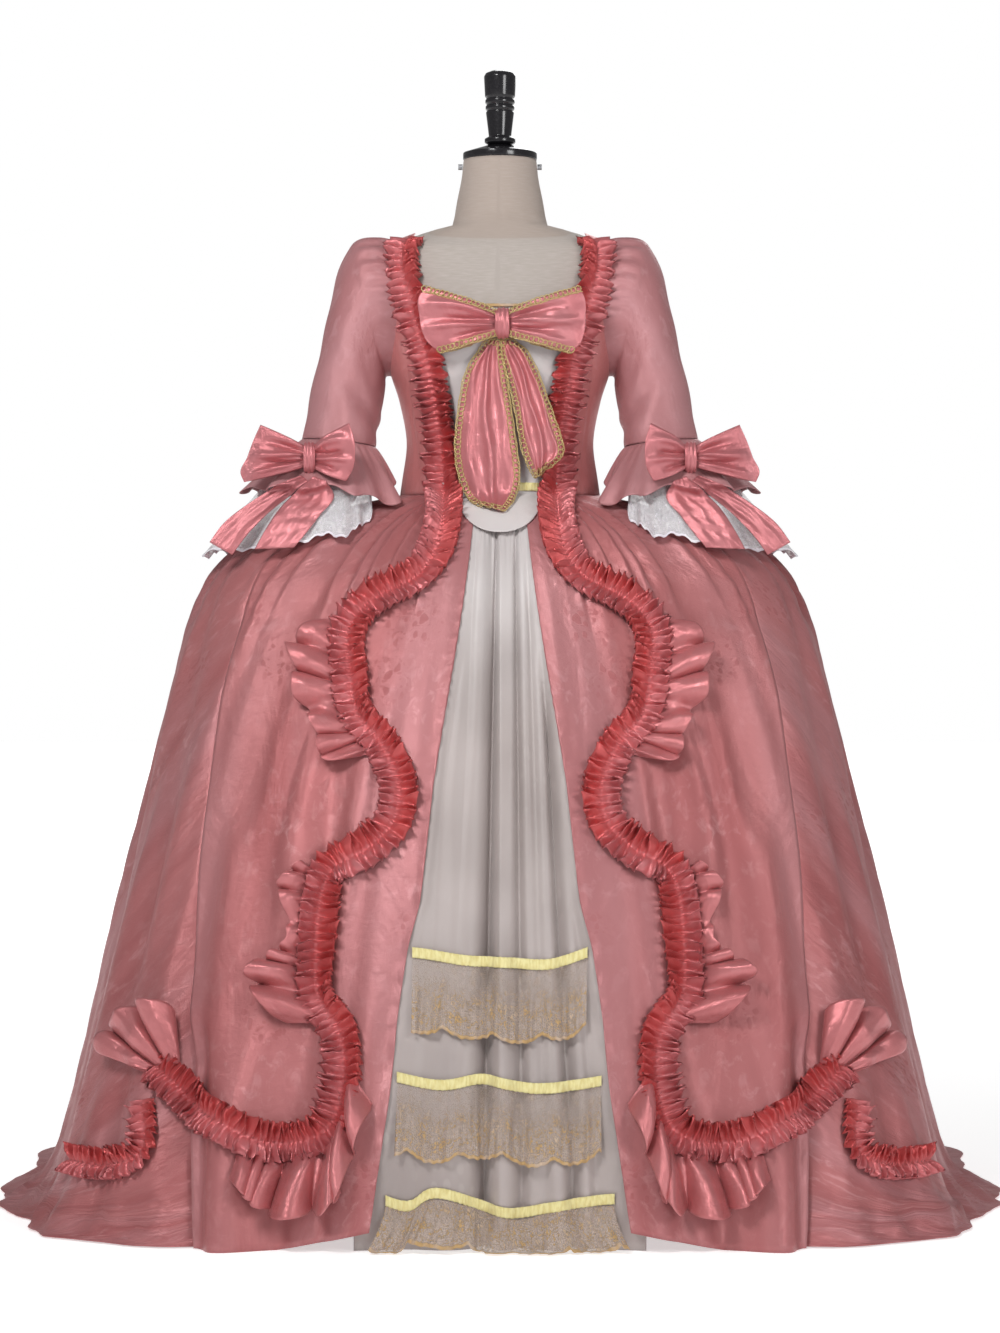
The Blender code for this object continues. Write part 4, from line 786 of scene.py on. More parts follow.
def satin(name, base, deep, pale, pattern, crease, roughness, lustre, sheen=0.15, upper=None):
    """Satin with a woven figure of leafy sprays, soft mottling, upright bands of painted fold
    shade, greyish streaks of painted sheen and fine creases; on ruffles, painted shade on the half
    above the middle line.
    """
    web = Web(name + " satin", roughness, sheen, 0.35, 0.35)
    web.set("Metallic", lustre)
    web.set("Sheen Tint", SHEEN_TINT)
    web.set("Specular Tint", GLINT_TINT)
    at = web.place
    # Leaves gathered into sprays, duller than the ground
    wobble = web.node("TexNoise", {"Vector": at, "Scale": 40.0}, "Color")
    wobble = web.node("VectorMath", {0: wobble, "Scale": 0.018}, operation="SCALE")
    bent = web.node("VectorMath", {0: at, 1: wobble}, operation="ADD")
    leaf = web.spots(web.stretch(bent, 1.0, 0.62, 0.6), 95, 0.28, 0.40)
    sprig = web.spots(web.stretch(bent, 0.7, 1.0, -0.5), 150, 0.22, 0.32)
    figure = web.math("MAXIMUM", leaf, web.times(sprig, 0.7))
    figure = web.times(figure, web.spots(bent, 7.5, 0.20, 0.42))
    # Pale mottled patches, broad patches of tone, upright bands of painted fold shade and greyish
    # upright streaks of painted sheen
    mottle = web.ramp(web.noise(web.stretch(at, 1.0, 0.7), 55, 4.0, 0.62, 0.6), 0.50, 0.68)
    patch = web.ramp(web.noise(at, 5.5, 2.0), 0.42, 0.66)
    mottle = web.times(mottle, web.scaled(patch, 0.75, 0.25))
    broad = web.ramp(web.noise(at, 2.6, 2.0), 0.3, 0.7)
    bands = web.ramp(web.noise(web.stretch(at, 1.0, 0.10), 13, 2.0), 0.38, 0.62)
    # Greyish upright streaks laid over the colour: painted sheen
    painted_sheen_streaks = web.ramp(web.noise(web.stretch(at, 1.0, 0.07), 9, 2.0), 0.42, 0.66)
    # Painted fold shade: the upright bands, with the random broad tone, darken the ground towards
    # the deeper colour
    shade = web.times(web.scaled(bands, 0.5, web.times(broad, 0.4)), 0.9)
    base, deep, pale = (srgb(*colour) for colour in (base, deep, pale))
    colour = web.mix(shade, base, deep)
    for mask, share, over in (
        (painted_sheen_streaks, 0.30, srgb(190, 142, 146)), (mottle, 0.34, pale), (figure, 0.38, deep),
    ):
        colour = web.mix(web.times(mask, share * pattern), colour, over)
    # Painted shade: on ruffles the half above the middle line takes the deeper coral
    if upper:
        wander = web.scaled(web.noise(at, 70), 0.030, -0.015)
        side = web.ramp(web.math("ADD", web.axis(at, 0), wander), -0.012, 0.012)
        colour = web.mix(side, colour, srgb(*upper))
    web.set("Base Color", colour)
    web.set("Roughness", web.scaled(mottle, -0.07, web.scaled(figure, 0.16 * pattern, roughness)))
    web.bump(web.noise(web.stretch(at, 1.0, 0.35), 18, 3.0, 0.55, 0.8), 0.006 * crease, 0.5)
    web.bump(web.noise(web.stretch(at, 0.8, 1.0, 0.7), 70, 3.0, 0.6, 0.5), 0.0012 * crease, 0.5)
    web.bump(figure, 0.0003, 0.6)
    web.bump(web.wave(at, 1400, "DIAGONAL", 0.3), 0.00012, 0.35)
    return web.done("coral_ruffle" if upper else "pink_satin")


def cream_satin():
    """Off-white satin, smooth and soft, with painted light that makes it brighter towards the top.
    """
    web = Web("cream satin", 0.40, 0.2, 0.35, 0.45)
    at = web.place
    cloud = web.ramp(web.noise(at, 5, 2.0), 0.3, 0.7)
    # Painted light: a paler copy of the cream near the top and a darker one low down
    low = web.mix(cloud, srgb(182, 171, 168), srgb(160, 149, 146))
    top = web.mix(cloud, srgb(216, 211, 210), srgb(196, 189, 188))
    colour = web.mix(web.ramp(web.axis(web.body, 2), 0.62, 0.98), low, top)
    sprig = web.spots(web.stretch(at, 1.0, 0.6, 0.5), 70, 0.24, 0.40)
    sprig = web.times(sprig, web.spots(at, 7, 0.2, 0.5))
    web.set("Base Color", web.mix(web.times(sprig, 0.16), colour, srgb(206, 198, 194)))
    web.bump(web.noise(web.stretch(at, 1.0, 0.4), 14), 0.004, 0.4)
    web.bump(web.noise(at, 90), 0.0008, 0.4)
    web.bump(web.wave(at, 1400, "DIAGONAL", 0.3), 0.0001, 0.3)
    return web.done()


def ribbon_look():
    """Pale yellow gathered ribbon, its colour painted lighter on the gathers' crests and darker in
    their hollows.
    """
    web = Web("yellow ribbon", 0.5, 0.3)
    across = web.noise(web.stretch(web.place, 1.0, 0.25), 260)
    # Painted light and shade: the colour follows the gathers' relief, paler on the crests and
    # darker in the hollows
    shade = web.ramp(across, 0.35, 0.65)
    web.set("Base Color", web.mix(shade, srgb(222, 208, 140), srgb(238, 228, 166)))
    web.bump(across, 0.0010, 0.6)
    web.bump(web.wave(web.place, 900, "X", 0.2), 0.00015, 0.5)
    return web.done()


def lace(name, thread, gold, net_share, motif):
    """Net with leafy embroidery, open between its threads, densest at its edge."""
    web = Web(name, 0.75, 0.2, 0.5, 0.3)
    at = web.place
    rise = web.axis(at, 1)
    net = web.ramp(web.cells(at, 300, "DISTANCE_TO_EDGE", 0.4), 0.10, 0.16, 1.0, 0.0)
    petals = web.ramp(web.cells(at, motif * 5, "DISTANCE_TO_EDGE"), 0.05, 0.14)
    flower = web.times(web.spots(at, motif, 0.24, 0.32), petals)
    stems = web.math("SUBTRACT", web.noise(at, motif * 2.4, 2.0, 0.5, 1.2), 0.5)
    stems = web.ramp(web.math("ABSOLUTE", stems), 0.012, 0.034, 1.0, 0.0)
    stitched = web.math("MAXIMUM", flower, stems)
    stitched = web.times(stitched, web.ramp(rise, 0.030, 0.075, 1.0, 0.30))
    stitched = web.math("MAXIMUM", stitched, web.ramp(rise, 0.0035, 0.0055, 1.0, 0.0))
    cover = web.math("MAXIMUM", web.times(net, 0.62), net_share)
    cover = web.times(cover, web.ramp(rise, 0.020, 0.080, 1.0, 0.30))
    web.set("Alpha", web.math("MINIMUM", web.math("MAXIMUM", stitched, cover), 1.0))
    warm = web.times(stitched, web.ramp(web.noise(at, 40, 2.0), 0.35, 0.55, 0.35, 1.0))
    web.set("Base Color", web.mix(warm, thread, gold))
    web.bump(stitched, 0.0008, 0.8)
    web.bump(web.noise(at, 600, 2.0), 0.0003, 0.5)
    return web.done()


def braid_look():
    """Gold looped braid, painted darker in the grooves of its twist."""
    web = Web("gold braid", 0.42, 0.0, 0.4, 0.6)
    twist = web.wave(web.body, 260, "DIAGONAL", 2.0)
    # Painted shade: darker gold in the twist's grooves, paler on its ridges, after the same wave as
    # the relief
    shade = web.ramp(twist, 0.2, 0.8)
    web.set("Base Color", web.mix(shade, srgb(166, 136, 82), srgb(226, 204, 148)))
    web.set("Metallic", 0.35)
    web.bump(twist, 0.0004, 0.8)
    return web.done("gold_lace")


def linen_look():
    """Plain linen stretched on the form, a little browner above the neck's seam."""
    web = Web("linen", 0.85, 0.15, 0.5, 0.25)
    weave = web.times(web.wave(web.place, 420, "X", 0.6), web.wave(web.place, 420, "Y", 0.6))
    slub = web.noise(web.stretch(web.place, 1.0, 9.0), 60)
    shade = web.ramp(web.scaled(slub, 0.7, web.times(weave, 0.3)), 0.25, 0.75)
    colour = web.mix(shade, srgb(176, 166, 158), srgb(193, 184, 179))
    above = web.scaled(web.axis(web.body, 1), -NECK_SLOPE, web.axis(web.body, 2))
    high = web.ramp(above, NECK_SEAM - 0.0005, NECK_SEAM + 0.0015)
    web.set("Base Color", web.mix(high, colour, web.mix(0.55, colour, srgb(168, 150, 138))))
    web.bump(weave, 0.0003, 0.6)
    web.bump(slub, 0.0004, 0.4)
    return web.done()


def gloss_look(name, colour, roughness, metallic):
    """Smooth enamel or metal with faint wear."""
    web = Web(name, roughness)
    fleck = web.noise(web.body, 320, 4.0, 0.6)
    worn = tuple(min(1.0, c * 1.5 + 0.004) for c in colour)
    web.set("Base Color", web.mix(web.ramp(fleck, 0.45, 0.8), colour, worn))
    web.set("Roughness", web.scaled(fleck, 0.12, roughness - 0.05))
    web.set("Metallic", metallic)
    web.bump(web.noise(web.body, 45, 2.0), 0.0006, 0.25)
    return web.done()


def turned(name, profile, look, node, bevel):
    """A body turned round the Z axis, its corners softly rounded."""
    sides = 72
    angle = np.linspace(0, 2 * np.pi, sides, endpoint=False)
    rings = np.array(profile[1:-1])
    radius, height = rings[:, :1], rings[:, 1:]
    points = np.stack([radius * np.cos(angle), radius * np.sin(angle), height + 0 * angle], -1)
    ends = [[0, 0, profile[0][1]], [0, 0, profile[-1][1]]]
    points = np.concatenate([points.reshape(-1, 3), ends])
    index = index_grid(len(rings), sides)
    after = np.roll(index, -1, 1)
    low, high = len(points) - 2, len(points) - 1
    faces = quads(index, after).tolist()
    faces += [(low, b, a) for a, b in zip(index[0], after[0])]
    faces += [(high, a, b) for a, b in zip(index[-1], after[-1])]
    thing = finish_piece(name, mesh_of(name, points, faces), look, node)
    rounding = thing.modifiers.new("round", "BEVEL")
    rounding.width = bevel
    rounding.segments = 3


def build_stand(linen, gloss, steel):
    """The form, its cap and finial, and the stand hidden under the skirt."""
    angle = np.linspace(0, 360, FORM_GRID[1], endpoint=False)
    turn, level = np.meshgrid(angle, np.linspace(0.880, 1.346, FORM_GRID[0]))
    torso = ring(BODICE, level, turn)
    torso = torso - normals_of(torso, True) * FORM_INSET
    turn, level = np.meshgrid(angle, np.linspace(1.354, 1.432, 16))
    torso = np.concatenate([torso, ring(NECK, level, turn)])
    seam = bell(torso[..., 2] - NECK_SLOPE * torso[..., 1] - NECK_SEAM, 0.0016)
    torso = moved(torso, normals_of(torso, True), -0.0012 * seam)
    cloth("form_torso", torso, linen, 0.002, loop=True, name="form_cover")
    turned("cap", CAP_PROFILE, gloss, "neck_cap", 0.0007)
    turned("knob", FINIAL_PROFILE, gloss, "finial", 0.0009)
    for node, look in (
        ("base_foot", gloss), ("pole", steel), ("stud_l", steel), ("stud_r", steel),
    ):
        thing = frame["nodes"][node]
        thing.data.materials.clear()
        thing.data.materials.append(look[0])
    return torso


def armhole_angle(height, back):
    """Where the bodice's edge meets the armhole at a height."""
    rise = (height - ARMHOLE_HEIGHT) / ARMHOLE_HALF_HEIGHT
    if abs(rise) >= 1:
        return 90.0
    depth = ARMHOLE_HALF_DEPTH * math.sqrt(1 - rise * rise)
    width, front, rear, square = section(BODICE, height)
    across = width * (1 - min(depth / (rear if back else front), 1.0) ** square) ** (1 / square)
    angle = math.degrees(math.atan2(across, depth))
    return 180 - angle if back else angle


def build_bodice(look):
    """Front and back panels, cut out at the armholes."""
    made = {}
    for name, table, way, nearer in (
        ("bodice_front", BODICE_EDGE, 1, min), ("bodice_back", BACK_NECK, -1, max),
    ):
        back = way < 0
        rows = []
        for height in np.linspace(0.9695, 1.3305, BODICE_GRID[0]):
            outer = nearer(armhole_angle(height, back), 90 - 0.1 * way)
            inner = float(angle_at(BODICE, height, line_at(table, height), back))
            inner = nearer(inner, outer - way)
            angles = even_angles(BODICE, height, inner, outer, BODICE_GRID[1])
            rows.append(ring(BODICE, height, angles))
        p = np.array(rows)
        x, z = p[..., 0], p[..., 2]
        pull = 0.0012 * rumple(x * 60, z * 22, 12) * ease(0.97, 1.0, z)
        seam = bell(x - 0.112 - 0.10 * (z - 1.0), 0.0022) * (0.0 if back else 0.0012)
        p = moved(p, normals_of(p) * way, pull - seam - 0.0005)
        both(name, p, look, flip=way)
        made[name] = p
    return made


def build_overskirt(look):
    """The open front panels, each from the petticoat's opening to the side seam."""
    rows, columns = OVERSKIRT_GRID
    levels = WAIST * (1 - np.linspace(1, 0, rows)[:, None] ** 1.25)
    start = angle_at(SKIRT, levels, line_at(SKIRT_EDGE, levels) - 0.006 * bell(levels - 0.2, 0.12))
    seam = line_at(SIDE_SEAM, levels)
    angle = start + (seam + SEAM_LAP - start) * np.linspace(0, 1, columns) ** 1.05
    reach = np.clip(1 - (angle - start) / 14, 0, 1)
    level = np.minimum(levels + 0.026 * np.clip(1 - levels / 0.12, 0, 1) * reach, SKIRT_TOP)
    p = skirt(angle, level)
    # The front edge is a puckered narrow facing
    near = bell(angle - start, 1.1)
    pucker = 0.0017 * np.sin(levels * 520 + 3 * np.sin(levels * 31)) * near + 0.0012 * near
    tuck = 0.006 * bell(seam - angle, 1.6) * (1 - ease(0.10, 0.42, level))
    p = moved(p, normals_of(p), pucker * (1 - ease(0.88, 0.93, levels)) + tuck)
    both("overskirt", p, look)
    return p


def build_petticoat(look):
    """The front panel that shows in the overskirt's opening."""
    rows, columns = PETTICOAT_GRID
    half = np.linspace(1, 0, columns)
    height = WAIST * (1 - np.linspace(1, 0, rows)[:, None] ** 1.2)
    width = line_at(SKIRT_EDGE, height)
    across = (width + OVERLAP) * np.concatenate([-half, half[-2::-1]])
    p = skirt(turn_at(SKIRT, height, across), height + 0 * across)
    fall = 1 - height / WAIST
    drop = 0.0
    for top, foot, depth, wide in PLEATS:
        shape = bell(across - top - (foot - top) * fall, wide * (0.5 + 1.6 * fall), 1.6)
        drop = drop + depth * (1 + 0.6 * fall) * np.minimum(1, fall * 9) * shape
    gather = 0.0035 * bell(0.955 - height, 0.05) * (1 + np.sin(across * 900)) * 0.5
    soft = 0.002 * (rumple(across * 40, 6 * height + 0 * across, 21) + 1.2)
    covered = 1 - ease(width - 0.012, width + 0.001, np.abs(across))
    sink = 0.0024 + 0.03 * np.maximum(0, 1 - height / 0.12)
    sink = sink + (drop + gather + soft * np.minimum(1, fall * 6)) * covered
    p = moved(p, outward(p), -sink)
    p[..., 2] = np.minimum(height, SKIRT_TOP)
    cloth("petticoat", p, look)
    return p


def build_train(look):
    """The back of the overskirt, which hangs from the waist and lies along the floor."""
    rows, columns = TRAIN_GRID
    place, _ = curve_through(TRAIN_LINE, rows)
    levels = np.clip(place[:, :1], 0, SKIRT_TOP)
    spread = np.clip(place[:, 1:] * 4, 0, 1)
    start = line_at(SIDE_SEAM, levels) - SEAM_LAP
    half = start + (180 - start) * np.linspace(0, 1, columns)
    angle = np.concatenate([half, 360 - half[:, -2::-1]], 1)
    side = 180 - np.abs(angle - 180)
    run = 0.23 * np.clip((side - 45) / 135, 0, None) * spread
    run = run * (1 + 0.10 * np.sin(np.radians(side * 9)) + 0.05 * rumple(angle * 0.35, spread, 31))
    p = skirt(angle, levels + 0 * angle)
    out = outward(p)
    p = moved(p, out, run)
    # Ripples where the cloth turns from hanging to lying
    rest = bell(spread - 0.5, 0.32)
    puddle = (0.5 + 0.5 * rumple(angle * 0.9, spread * 2.5, 33)) * ease(48, 62, side) + 0.15
    puddle = puddle + 0.35 * np.abs(rumple(angle * 2.3, spread * 4, 35))
    lift = 0.002 * spread + 0.013 * rest * np.clip(puddle, 0, 2)
    p[..., 2] = np.maximum(p[..., 2], 0) + lift
    hidden = 0.011 * bell(side - start, 2.2) * (1 - ease(0.12, 0.45, levels)) * (1 - 0.6 * spread)
    under = 0.0024 * bell(side - start, 0.9)
    p = moved(p, out, 0.006 * rest * rumple(angle * 1.3, spread * 3, 37) - hidden - under)
    p[..., 2] = np.maximum(p[..., 2], 0.0013)
    cloth("train", p, look, flip=-1)
    return p


def build_stomacher(cream, gold, yellow):
    """The front panel with its tab, the strip over its top and the ribbon across its tab."""
    rows = []
    for height in np.concatenate([np.linspace(0.915, 0.969, 26), np.linspace(0.9705, 1.2245, 60)]):
        if height <= WAIST:
            curve = 1 - ((WAIST - height) / 0.0545) ** 2.4
            half = max(0.053 * math.sqrt(max(0.0, curve)), 0.004)
        else:
            edge = line_at(BODICE_EDGE, height) - 0.0012
            half = min(edge, 0.1125, 0.053 + (height - WAIST) * 1.6)
        across = np.linspace(-half, half, 45)
        table = SKIRT if height < WAIST else BODICE
        q = ring(table, height, turn_at(table, height, across))
        rows.append(q + outward(q) * (0.0066 - 0.0084 * ease(WAIST, 1.02, height)))
    p = np.array(rows)
    p[..., 1] += 0.0008 * rumple(p[..., 0] * 40, p[..., 2] * 30, 41)
    cloth("stomacher", p, cream)
    for name, node, low, high, half, look, out in (
        ("edge_strip", "neck_strip", 1.2195, 1.2238, 0.098, gold, 0.0022),
        ("tab_ribbon", "tab_stripe", 0.9725, 0.9835, 0.0488, yellow, 0.0080),
    ):
        across, level = np.meshgrid(np.linspace(-half, half, 90), np.linspace(low, high, 6))
        q = ring(BODICE, level, turn_at(BODICE, level, across))
        q = moved(q, outward(q), out + 0.0006 * np.sin(np.arange(90) * 1.9) + 0 * level)
        cloth(node, q, look, TRIM_THICK, name="cloth_" + name)
    return p


def sleeve_ring(row, turn):
    """One ring of the sleeve, from its outer side towards the front."""
    outer_x, outer_z, inner_x, inner_z, depth, middle = row
    across = 0.5 + 0.5 * np.cos(turn)
    x = inner_x + (outer_x - inner_x) * across
    z = inner_z + (outer_z - inner_z) * across
    return np.stack([x, middle - depth * np.sin(turn), z], -1)


def bodice_side(height, y):
    """How far out the bodice stands at a height and a place front to back."""
    width, front, rear, square = section(BODICE, np.minimum(height, 1.33))
    share = np.minimum(np.abs(y) / np.where(y < 0, front, rear), 1.0)
    return width * (1 - share ** square) ** (1 / square)


def build_sleeve(look):
    """The sleeves, gathered at the cap and creased above the elbow."""
    rows, columns = SLEEVE_GRID
    turn = np.linspace(0, 2 * np.pi, columns, endpoint=False)
    height = ARMHOLE_HEIGHT + (ARMHOLE_HALF_HEIGHT + 0.006) * np.cos(turn)
    y = -(ARMHOLE_HALF_DEPTH + 0.002) * np.sin(turn)
    rings = [np.stack([bodice_side(height, y) - 0.0032, y, height], -1)]
    rings += [sleeve_ring(row, turn) for row in SLEEVE]
    at = np.linspace(0, len(rings) - 1, rows)
    p = through(rings, at)
    r = at[:, None]
    up, front = np.cos(turn), np.sin(turn)
    top = np.clip(up, 0, 1) ** 0.7
    gathers = 0.0028 * top * np.sin(turn * 23 + 1.3 * np.sin(turn * 5))
    gathers = gathers * ease(0.0, 0.4, r) * (1 - ease(0.6, 1.7, r))
    puff = 0.004 * top * bell(r - 1.0, 0.8)
    folds = 0.0029 * rumple(up * 3.4 + 0.25 * r, front * 3.4, 51) * ease(1, 3, r)
    bends = 0.0028 * rumple(up * 2 + r * 1.4, front * 2 + r * 1.9, 53, 9) * ease(2.5, 5, r)
    p = moved(p, normals_of(p, True), gathers + puff + folds + bends)
    proud = 0.0012 - 0.0044 * (1 - ease(0.0, 0.35, r))
    p[..., 0] = np.maximum(p[..., 0], bodice_side(p[..., 2], p[..., 1]) + proud)
    both("sleeve", p, look, loop=True)
    return p


def closed_table(rows, direction):
    """A closed table's columns at directions in degrees, on a smooth curve through its rows."""
    table = np.array(rows, float)
    turn = np.zeros((2, table.shape[1]))
    turn[:, 0] = 360
    return smooth(np.concatenate([table[-2:] - turn, table, table[:2] + turn]), direction % 360)


def build_cuffs(sleeve, tree, pink, lace_look):
    """Pink and lace flounces below the sleeve."""
    direction = np.linspace(0, 360, CUFF_POINTS, endpoint=False)
    d = np.radians(direction)
    last = sleeve[-1]
    index = ((180 - direction) % 360) / 360 * len(last)
    top = between(index, np.arange(len(last) + 1), np.concatenate([last, last[:1]]))
    middle = last.mean(0)
    made = []
    for name, edge, look, inset, clear, calm, rows in (
        ("cuff_flounce", FLOUNCE_EDGE, pink, 0.0, 0.009, 1.0, 26),
        ("cuff_lace", LACE_EDGE, lace_look, 0.0024, 0.004, 0.75, 32),
    ):
        foot = closed_table(edge, direction)
        start = top + unit(middle - top) * inset
        start[:, 2] -= 0.001 + 0.4 * inset
        share = np.linspace(0, 1, rows)[:, None]
        p = start + (foot - start) * share[..., None]
        out = outward(p - middle)
        tight = 0.0012 * np.sin(d * 31) * (1 - ease(0.2, 0.7, share)) * ease(0.0, 0.1, share)
        loose = 0.0065 * np.sin(d * 11 + 1.1 * np.sin(d * 3)) + 0.003 * np.sin(d * 19 + 1)
        loose = loose * share ** 1.3 * calm
        belly = 0.0024 * np.sin(np.pi * share)
        p[..., 2] += 0.004 * share ** 2 * np.sin(d * 11 + 2.4)
        if inset:
            loose = loose - 0.002 * share
            p[..., 2] += 0.005 * share ** 6 * np.abs(np.sin(d * 17))
        p = moved(p, out, tight + loose + belly)
        for q in p.reshape(-1, 3):
            hit = tree.ray_cast(Vector((q[0], q[1], 1.2)), Vector((0, 0, -1)))[0]
            if hit is not None:
                q[2] = max(q[2], hit.z + clear)
        u = np.linspace(0, 0.9, CUFF_POINTS) + 0 * share
        v = (1 - share) * np.linalg.norm(foot - start, axis=1)
        both(name, p, look, TRIM_THICK, True, -1, np.stack([u, v], -1))
        made.append(p)
    return made


def dress_line(tree, path):
    """A path of the front drawing laid on the cloth: points, directions out and stations."""
    points, outs, stations = [], [], []
    for (x, z), station in zip(*curve_through(path, step=PATH_STEP)):
        point, out = lay(tree, x, z)
        if point is None:
            continue
        near = [lay(tree, x + dx, z + dz)[1] for dx, dz in ((-10, 0), (10, 0), (0, 10), (0, -10))]
        points.append(point)
        outs.append(sum((n for n in near if n is not None), out).normalized())
        stations.append(station)
    points, outs = np.array(points), np.array(outs)
    soften(points, 3)
    soften(outs, 3)
    return points, unit(outs), np.array(stations)


def ruffle(tree, path, width, rise, seed):
    """A strip gathered down its middle, both edges standing out in close folds."""
    points, outs, _ = dress_line(tree, path)
    band = unit(np.cross(unit(np.gradient(points, axis=0)), outs))[:, None]
    band = band * np.linspace(-1, 1, BAND_COLUMNS)[:, None] * width / 2
    band = draped(tree, points[:, None] + band, outs)
    soften(band, 2)
    length = run_of(points)
    s = np.linspace(0, length[-1], int(length[-1] / (RUFFLE_PITCH / RUFFLE_POINTS)))
    rows = np.interp(s, length, np.arange(len(length)))
    share = np.linspace(-1, 1, RUFFLE_COLUMNS)
    base = fine(band, rows, (share + 1) / 2 * (BAND_COLUMNS - 1))
    out = unit(between(rows, np.arange(len(length)), outs))
    along = unit(np.gradient(base[:, RUFFLE_COLUMNS // 2], axis=0))
    across = unit(np.cross(along, out))

    rng = np.random.default_rng(seed)
    knots = int(length[-1] / 0.016) + 3
    speed = np.interp(s, np.linspace(0, length[-1], knots), rng.uniform(0.70, 1.40, knots))
    phase = np.cumsum(speed) * (s[1] - s[0]) / RUFFLE_PITCH * 2 * np.pi
    knots = knots * 2
    strength = np.interp(s, np.linspace(0, length[-1], knots), rng.uniform(0.70, 1.60, knots))
    s, phase, strength = s[:, None], phase[:, None], strength[:, None]
    a = np.abs(share)
    wander = 2.6 * rumple(s * 120, share * 3.5, seed + 1, 6) * (0.15 + a)
    lag = np.where(share > 0, 1.1 * a ** 2, 0.9 - 0.7 * a ** 2)
    turn = phase + lag + wander
    fold = np.sin(turn) + 0.28 * np.sin(2 * turn + 0.6)
    grow = a ** 0.75
    puff = 0.35 * np.sin(np.pi * a ** 0.9) ** 0.8 + 0.85 * a
    uneven = 1 + 0.28 * rumple(s * 30, share * 2, seed + 2, 6)
    lift = 0.0030 + rise * puff * uneven + 0.0072 * strength * (0.12 + grow) * (fold + 0.25)
    taper = ease(0, 0.010, s) * ease(0, 0.010, length[-1] - s)
    lift = np.maximum(0.0026 + (lift - 0.0026) * (0.25 + 0.75 * taper), 0.0024)
    slide = 0.0024 * grow * np.sin(turn + 2.6) * strength
    slide = slide + 0.0022 * a * np.sin(turn * 0.5 + 1.3 * seed)
    reach = 0.05 * np.sin(turn + 1.2) * a + 0.08 * rumple(s * 60, a * 2, seed + 3, 5) * a
    p = moved(moved(base, out[:, None], lift), along[:, None], slide)
    p = moved(p, across[:, None], share * width / 2 * reach)
    # The map's first column is how far the cloth faces up or in, for the satin's two colours, the
    # deeper one painted shade
    tilt = np.clip((across[:, 2:] * 0.9 - across[:, :1] * 0.7) * 2.2, -1, 1)
    u = share * width / 2 * tilt
    middle = len(p) // 2
    flip = facing(p, (middle, RUFFLE_COLUMNS // 2), outs[len(outs) // 2])
    return p, np.stack([u, s * 2.1 + 0 * u], -1), flip


def cones(base, radial, out, b, pleats, seed, depth):
    """A base grid thrown into a few wide folds that open outward and overlap at their feet."""
    rng = np.random.default_rng(seed)
    a = np.linspace(0, 1, len(base))
    knots = np.linspace(0, 1, pleats + 1)
    warp = np.interp(a, knots, knots + rng.uniform(-0.22, 0.22, pleats + 1) / pleats)
    knots = np.linspace(0, 1, pleats * 2)
    strength = np.interp(a, knots, rng.uniform(0.7, 1.25, pleats * 2))[:, None]
    a, turn = a[:, None], (warp * pleats * 2 * np.pi)[:, None]
    turn = turn + 0.4 * b * np.sin(a * 9)
    size = np.clip(np.linalg.norm(radial, axis=1) / 0.06, 0.40, 1.15)[:, None]
    grow = 0.16 + 0.84 * b ** 0.9
    crest = 0.5 - 0.5 * np.cos(turn + 0.35 * np.sin(turn))
    lift = 0.003 + depth * size * grow * strength * crest ** 1.5
    lift = lift + 0.008 * size * np.sin(np.pi * b * 0.8) + 0.0012 * rumple(a * 50, b * 5, seed + 1)
    foot = np.linalg.norm(np.gradient(base[:, -1], axis=0), axis=1).sum()
    spread = foot / (pleats * 2 * np.pi)
    slide = -1.18 * spread * grow * np.sin(turn) * np.clip(strength, 0.8, 1.1) * size
    sideways = unit(np.gradient(base[:, len(b) // 2], axis=0))
    reach = (0.013 * size * (crest - 0.35) + 0.003 * rumple(a * 40, b, seed)) * b ** 2
    p = moved(base, out[:, None], np.maximum(lift, 0.0028))
    p = moved(moved(p, sideways[:, None], slide), unit(radial)[:, None], reach)
    middle = len(p) // 2
    return p, facing(p, (middle, len(b) // 2), out[middle])


def fan(tree, line, outline, pleats, seed):
    """A pleated fan from a ruffle's side to its outline, its pleats opening outward."""
    points, outs, stations = line
    ends = []
    for station, x, z in outline:
        centre = between(station, stations, points)
        out = unit(between(station, stations, outs))
        outer = lay(tree, x, z)[0] if z > -2 else None
        if outer is None:
            outer = lay(tree, x, 22)[0]
            outer = (outer.x, outer.y - 0.004, max(0.004, outer.z + (z - 22) / 1000))
        outer = np.array(outer)
        side = outer - centre
        side = unit(side - out * (side @ out))
        inner = centre + side * (FAN_WIDTH * 0.5 - 0.006)
        if (outer - inner) @ side < FAN_LEAST:
            outer = inner + side * FAN_LEAST
        ends.append(np.concatenate([inner, outer, out]))
    ends, _ = curve_through(ends, pleats * 26)
    inner, outer, out = ends[:, None, :3], ends[:, None, 3:6], unit(ends[:, 6:])
    b = np.linspace(0, 1, FAN_COLUMNS)
    base = draped(tree, inner + (outer - inner) * np.linspace(0, 1, 6)[:, None], out)
    soften(base, 3)
    base = fine(base, np.arange(len(ends)), b * 5)
    return cones(base, (outer - inner)[:, 0], out, b, pleats, seed, 0.032)


def side_fan(tree, pleats, seed):
    """The small fan at the train ruffle's corner."""
    rows, _ = curve_through(FAN_SIDE, pleats * 34)
    b = np.linspace(0, 1, 26)
    base, out = [], []
    for x0, z0, x1, z1 in rows:
        inner, normal = lay(tree, x0, z0)
        outer, _ = lay(tree, x1, z1)
        out.append(normal)
        base.append(np.array(inner) + (np.array(outer) - np.array(inner)) * b[:, None])
    base, out = np.array(base), np.array(out)
    soften(base, 6)
    soften(out, 6)
    out = unit(out)
    base = draped(tree, base, out)
    return cones(base, base[:, -1] - base[:, 0], out, b, pleats, seed, 0.030)


